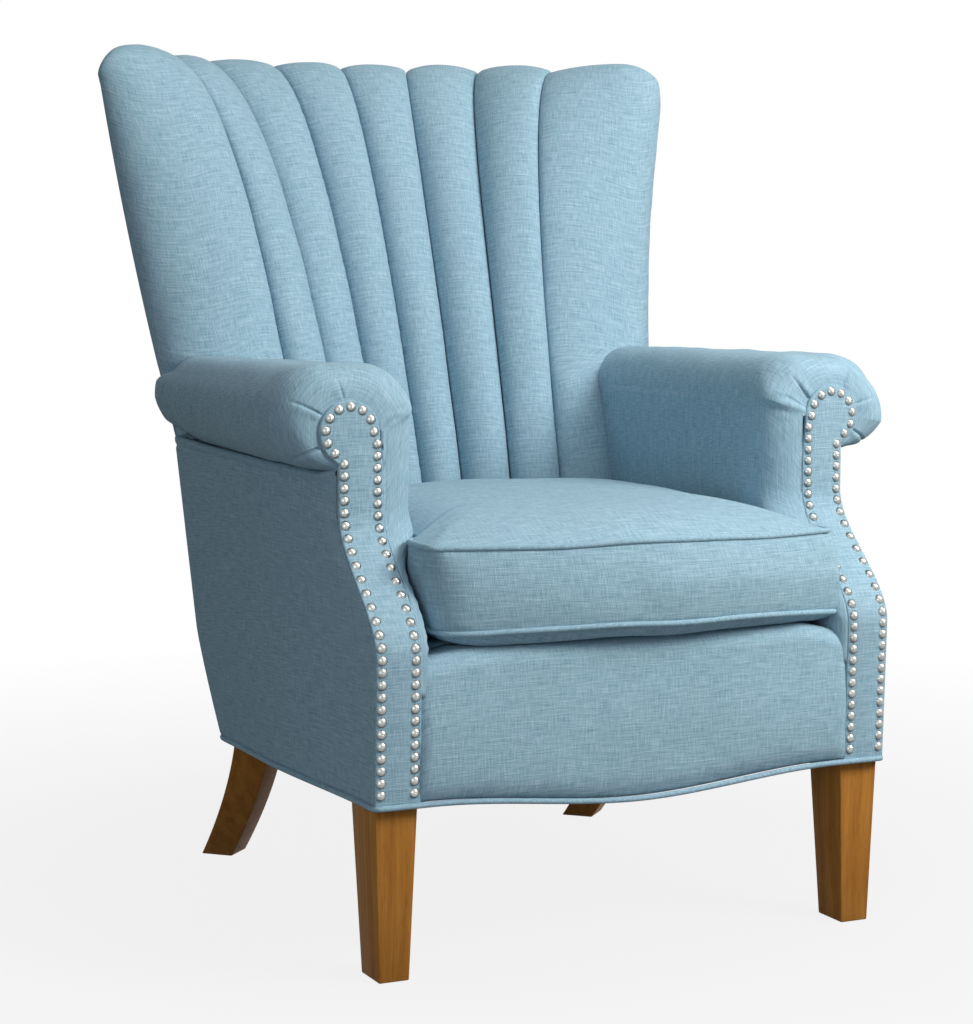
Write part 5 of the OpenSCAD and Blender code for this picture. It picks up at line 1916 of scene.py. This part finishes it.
@dataclass
class Legs:
    """The show wood: tapered front legs and swept rear legs."""

    lines: ChairLines
    edge: float = 0.0016
    bends: int = 22
    thick_top: float = 1.14

    def front_leg(self, side: Side) -> bpy.types.Object:
        """A leg of rectangular section that tapers to its foot, with eased edges."""
        size = self.lines.size
        low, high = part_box(f"front_{side.word}_leg")
        clear_selection()
        wide, deep = size.leg_top_w, size.leg_top_d
        x = (size.body_w / 2 - wide / 2 - 0.004) * side.value
        y = float(self.lines.facing_y(size.body_z)) + 0.008 + deep / 2
        bpy.ops.mesh.primitive_cube_add(size=1, location=(x, y, high[2] / 2),
                                        scale=(wide, deep, high[2]))
        leg = bpy.context.object
        leg.name = f"front_{side.word}_leg_wood"
        settle(leg)
        choose(leg)
        bpy.ops.object.mode_set(mode="EDIT")
        select_faces(leg, lambda c: c.z < 0.001)
        bpy.ops.transform.resize(value=(size.leg_foot_w / wide, size.leg_foot_d / deep, 1),
                                 center_override=(x, y, 0))
        bpy.ops.transform.translate(value=(0.001 * side.value, -0.0035, 0))
        bpy.ops.object.mode_set(mode="OBJECT")
        self.ease_edges(leg)
        return leg

    def rear_leg(self, side: Side) -> bpy.types.Object:
        """A square leg set corner to the front, swept back to its foot."""
        size = self.lines.size
        low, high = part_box(f"rear_{side.word}_leg")
        x = (low[0] + high[0]) / 2
        half_top = size.rear_leg_w / math.sqrt(2) * self.thick_top
        y_top = low[1] + half_top
        clear_selection()
        bpy.ops.mesh.primitive_circle_add(vertices=4, radius=half_top, fill_type="NGON",
                                          location=(x, y_top, high[2]))
        leg = bpy.context.object
        leg.name = f"rear_{side.word}_leg_wood"
        settle(leg)
        choose(leg)
        bpy.ops.object.mode_set(mode="EDIT")
        bpy.ops.mesh.select_all(action="SELECT")
        before = 0.0
        for i in range(1, self.bends + 1):
            s = i / self.bends
            run = size.rear_sweep * s ** 1.5
            bpy.ops.mesh.extrude_region_move(TRANSFORM_OT_translate={
                "value": (0, run - before, -high[2] / self.bends)})
            thinner = lerp(self.thick_top, 1, s) / lerp(self.thick_top, 1, (i - 1) / self.bends)
            bpy.ops.transform.resize(value=(thinner, thinner, 1),
                                     center_override=(x, y_top + run, high[2] * (1 - s)))
            before = run
        bpy.ops.mesh.select_all(action="SELECT")
        bpy.ops.mesh.normals_make_consistent(inside=False)
        bpy.ops.object.mode_set(mode="OBJECT")
        self.ease_edges(leg)
        return leg

    def ease_edges(self, leg: bpy.types.Object) -> None:
        """Rounds the edges of a leg a little."""
        bevel = leg.modifiers.new("Eased edges", "BEVEL")
        bevel.width, bevel.segments = self.edge, 3
        bevel.limit_method, bevel.angle_limit = "ANGLE", math.radians(40)
        apply_modifiers(leg)
        choose(leg)
        bpy.ops.object.shade_smooth_by_angle(angle=math.radians(30))
        clear_selection()

    def build(self, shop: Workshop) -> None:
        """Makes the four legs."""
        for side in Side:
            shop.fit(self.front_leg(side), WALNUT, [f"front_{side.word}_leg"])
            shop.fit(self.rear_leg(side), WALNUT, [f"rear_{side.word}_leg"])


@dataclass(frozen=True)
class HiddenFrame:
    """The wood and steel inside, which keep their solids."""

    upright: tuple[str, ...] = ("left_arm_post", "right_arm_post", "left_back_post",
                                "right_back_post", "left_wing_stile", "right_wing_stile",
                                "corner_blocks")
    lengthways: tuple[str, ...] = ("left_arm_rail", "right_arm_rail", "left_arm_slat",
                                   "right_arm_slat", "left_side_rail", "right_side_rail")
    crossways: tuple[str, ...] = ("front_rail", "rear_rail", "back_slat", "back_top_rail")

    def build(self, shop: Workshop) -> None:
        """Finishes the hidden pieces."""
        for nodes, finish in ((self.upright, BEECH), (self.lengthways, BEECH_LONG),
                              (self.crossways, BEECH_CROSS), (("seat_springs",), WIRE),
                              (("spring_clips", "leg_bolts"), ZINC)):
            for node in nodes:
                shop.finish_node(node, finish)


@dataclass(frozen=True)
class Lamp:
    """A soft rectangular studio lamp."""

    name: str
    place: tuple[float, float, float]
    width: float
    power: float
    tint: tuple[float, float, float] = (1.0, 1.0, 1.0)


@dataclass(frozen=True)
class Studio:
    """The camera at the photograph's view, the lamps, the floor and the backdrop."""

    eye: tuple[float, float, float] = (-1.348, -2.916, 0.803)
    target: tuple[float, float, float] = (0.0, -0.044, 0.466)
    lit: tuple[float, float, float] = (0.0, -0.05, 0.5)
    lens: float = 91.9
    shift: tuple[float, float] = (-0.0018, -0.012)
    ambient: float = 0.13
    lamps: tuple[Lamp, ...] = (
        Lamp("key", (1.15, -1.65, 1.7), 0.9, 51.0, (1.0, 0.985, 0.955)),
        Lamp("fill", (-2.2, -2.4, 1.0), 1.6, 17.5, (0.88, 0.96, 1.04)),
        Lamp("top", (0.3, -0.8, 2.5), 1.2, 14.0),
        Lamp("rear", (0.8, 2.6, 2.0), 2.0, 16.0))

    def camera(self) -> None:
        """Sets the camera."""
        data = bpy.data.cameras.new("camera")
        data.lens, data.sensor_width = self.lens, 36.0
        data.shift_x, data.shift_y = self.shift
        data.clip_start, data.clip_end = 0.05, 50.0
        camera = add_object("camera", data)
        self.aim(camera, self.eye, self.target)
        bpy.context.scene.camera = camera

    @staticmethod
    def aim(piece: bpy.types.Object, place: Sequence[float], target: Sequence[float]) -> None:
        """Puts an object in its place and turns it towards a target."""
        piece.location = place
        look = Vector(target) - Vector(place)
        piece.rotation_euler = look.to_track_quat("-Z", "Y").to_euler()

    def light(self) -> None:
        """Hangs the lamps and sets the world."""
        for lamp in self.lamps:
            data = bpy.data.lights.new(lamp.name, "AREA")
            data.shape, data.size = "SQUARE", lamp.width
            data.energy, data.color = lamp.power, lamp.tint
            self.aim(add_object(lamp.name, data), lamp.place, self.lit)
        world = bpy.data.worlds.new("studio")
        world.use_nodes = True
        world.node_tree.nodes.clear()
        s = Shader(world.node_tree)
        strength = s.spread(s.seen(), 0.0, 1.0, self.ambient, 1.0)
        back = s.node("Background", Color=(1.0, 1.0, 1.0, 1.0), Strength=strength)
        s.node("OutputWorld", Surface=back.outputs[0])
        bpy.context.scene.world = world

    def floor(self) -> None:
        """Lays a plain pale floor that keeps the chair's shadow."""
        clear_selection()
        bpy.ops.mesh.primitive_circle_add(vertices=64, radius=9.0, fill_type="NGON",
                                          location=(0, 0, -0.0006))
        floor = bpy.context.object
        floor.name = "floor"
        paint = bpy.data.materials.new("Pale floor")
        paint.use_nodes = True
        paint.node_tree.nodes.clear()
        s = Shader(paint.node_tree)
        lit = s.node("BsdfDiffuse", Color=(0.20, 0.20, 0.20, 1.0))
        glow = s.node("Emission", Color=(1.0, 1.0, 1.0, 1.0), Strength=1.0)
        away = s.node("VectorMath", operation="LENGTH", _0=s.place()).outputs["Value"]
        mix = s.node("MixShader", _0=s.times(s.seen(), s.spread(away, 0.5, 1.8, 0.86, 1.0)),
                     _1=lit.outputs[0], _2=glow.outputs[0])
        s.node("OutputMaterial", Surface=mix.outputs[0])
        floor.data.materials.append(paint)
        clear_selection()

    def build(self) -> None:
        """Sets up the whole studio."""
        self.camera()
        self.light()
        self.floor()
        bpy.context.scene.view_settings.view_transform = "Standard"


def main() -> None:
    """Builds the chair round its frame."""
    logging.basicConfig(level=logging.INFO, format="%(name)s: %(message)s")
    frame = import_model()
    Studio().build()
    shop = Workshop(frame)
    lines = ChairLines()
    for assembly in (ChannelBack(lines), RolledArms(lines), ArmFacings(lines),
                     OutsideCovers(lines), FrontBorder(lines), BottomWelt(lines),
                     SeatCushion(lines), SeatDeck(lines), DustCover(lines), Legs(lines),
                     HiddenFrame()):
        assembly.build(shop)
        LOG.info("%s is done", type(assembly).__name__)


if __name__ == "__main__":
    main()
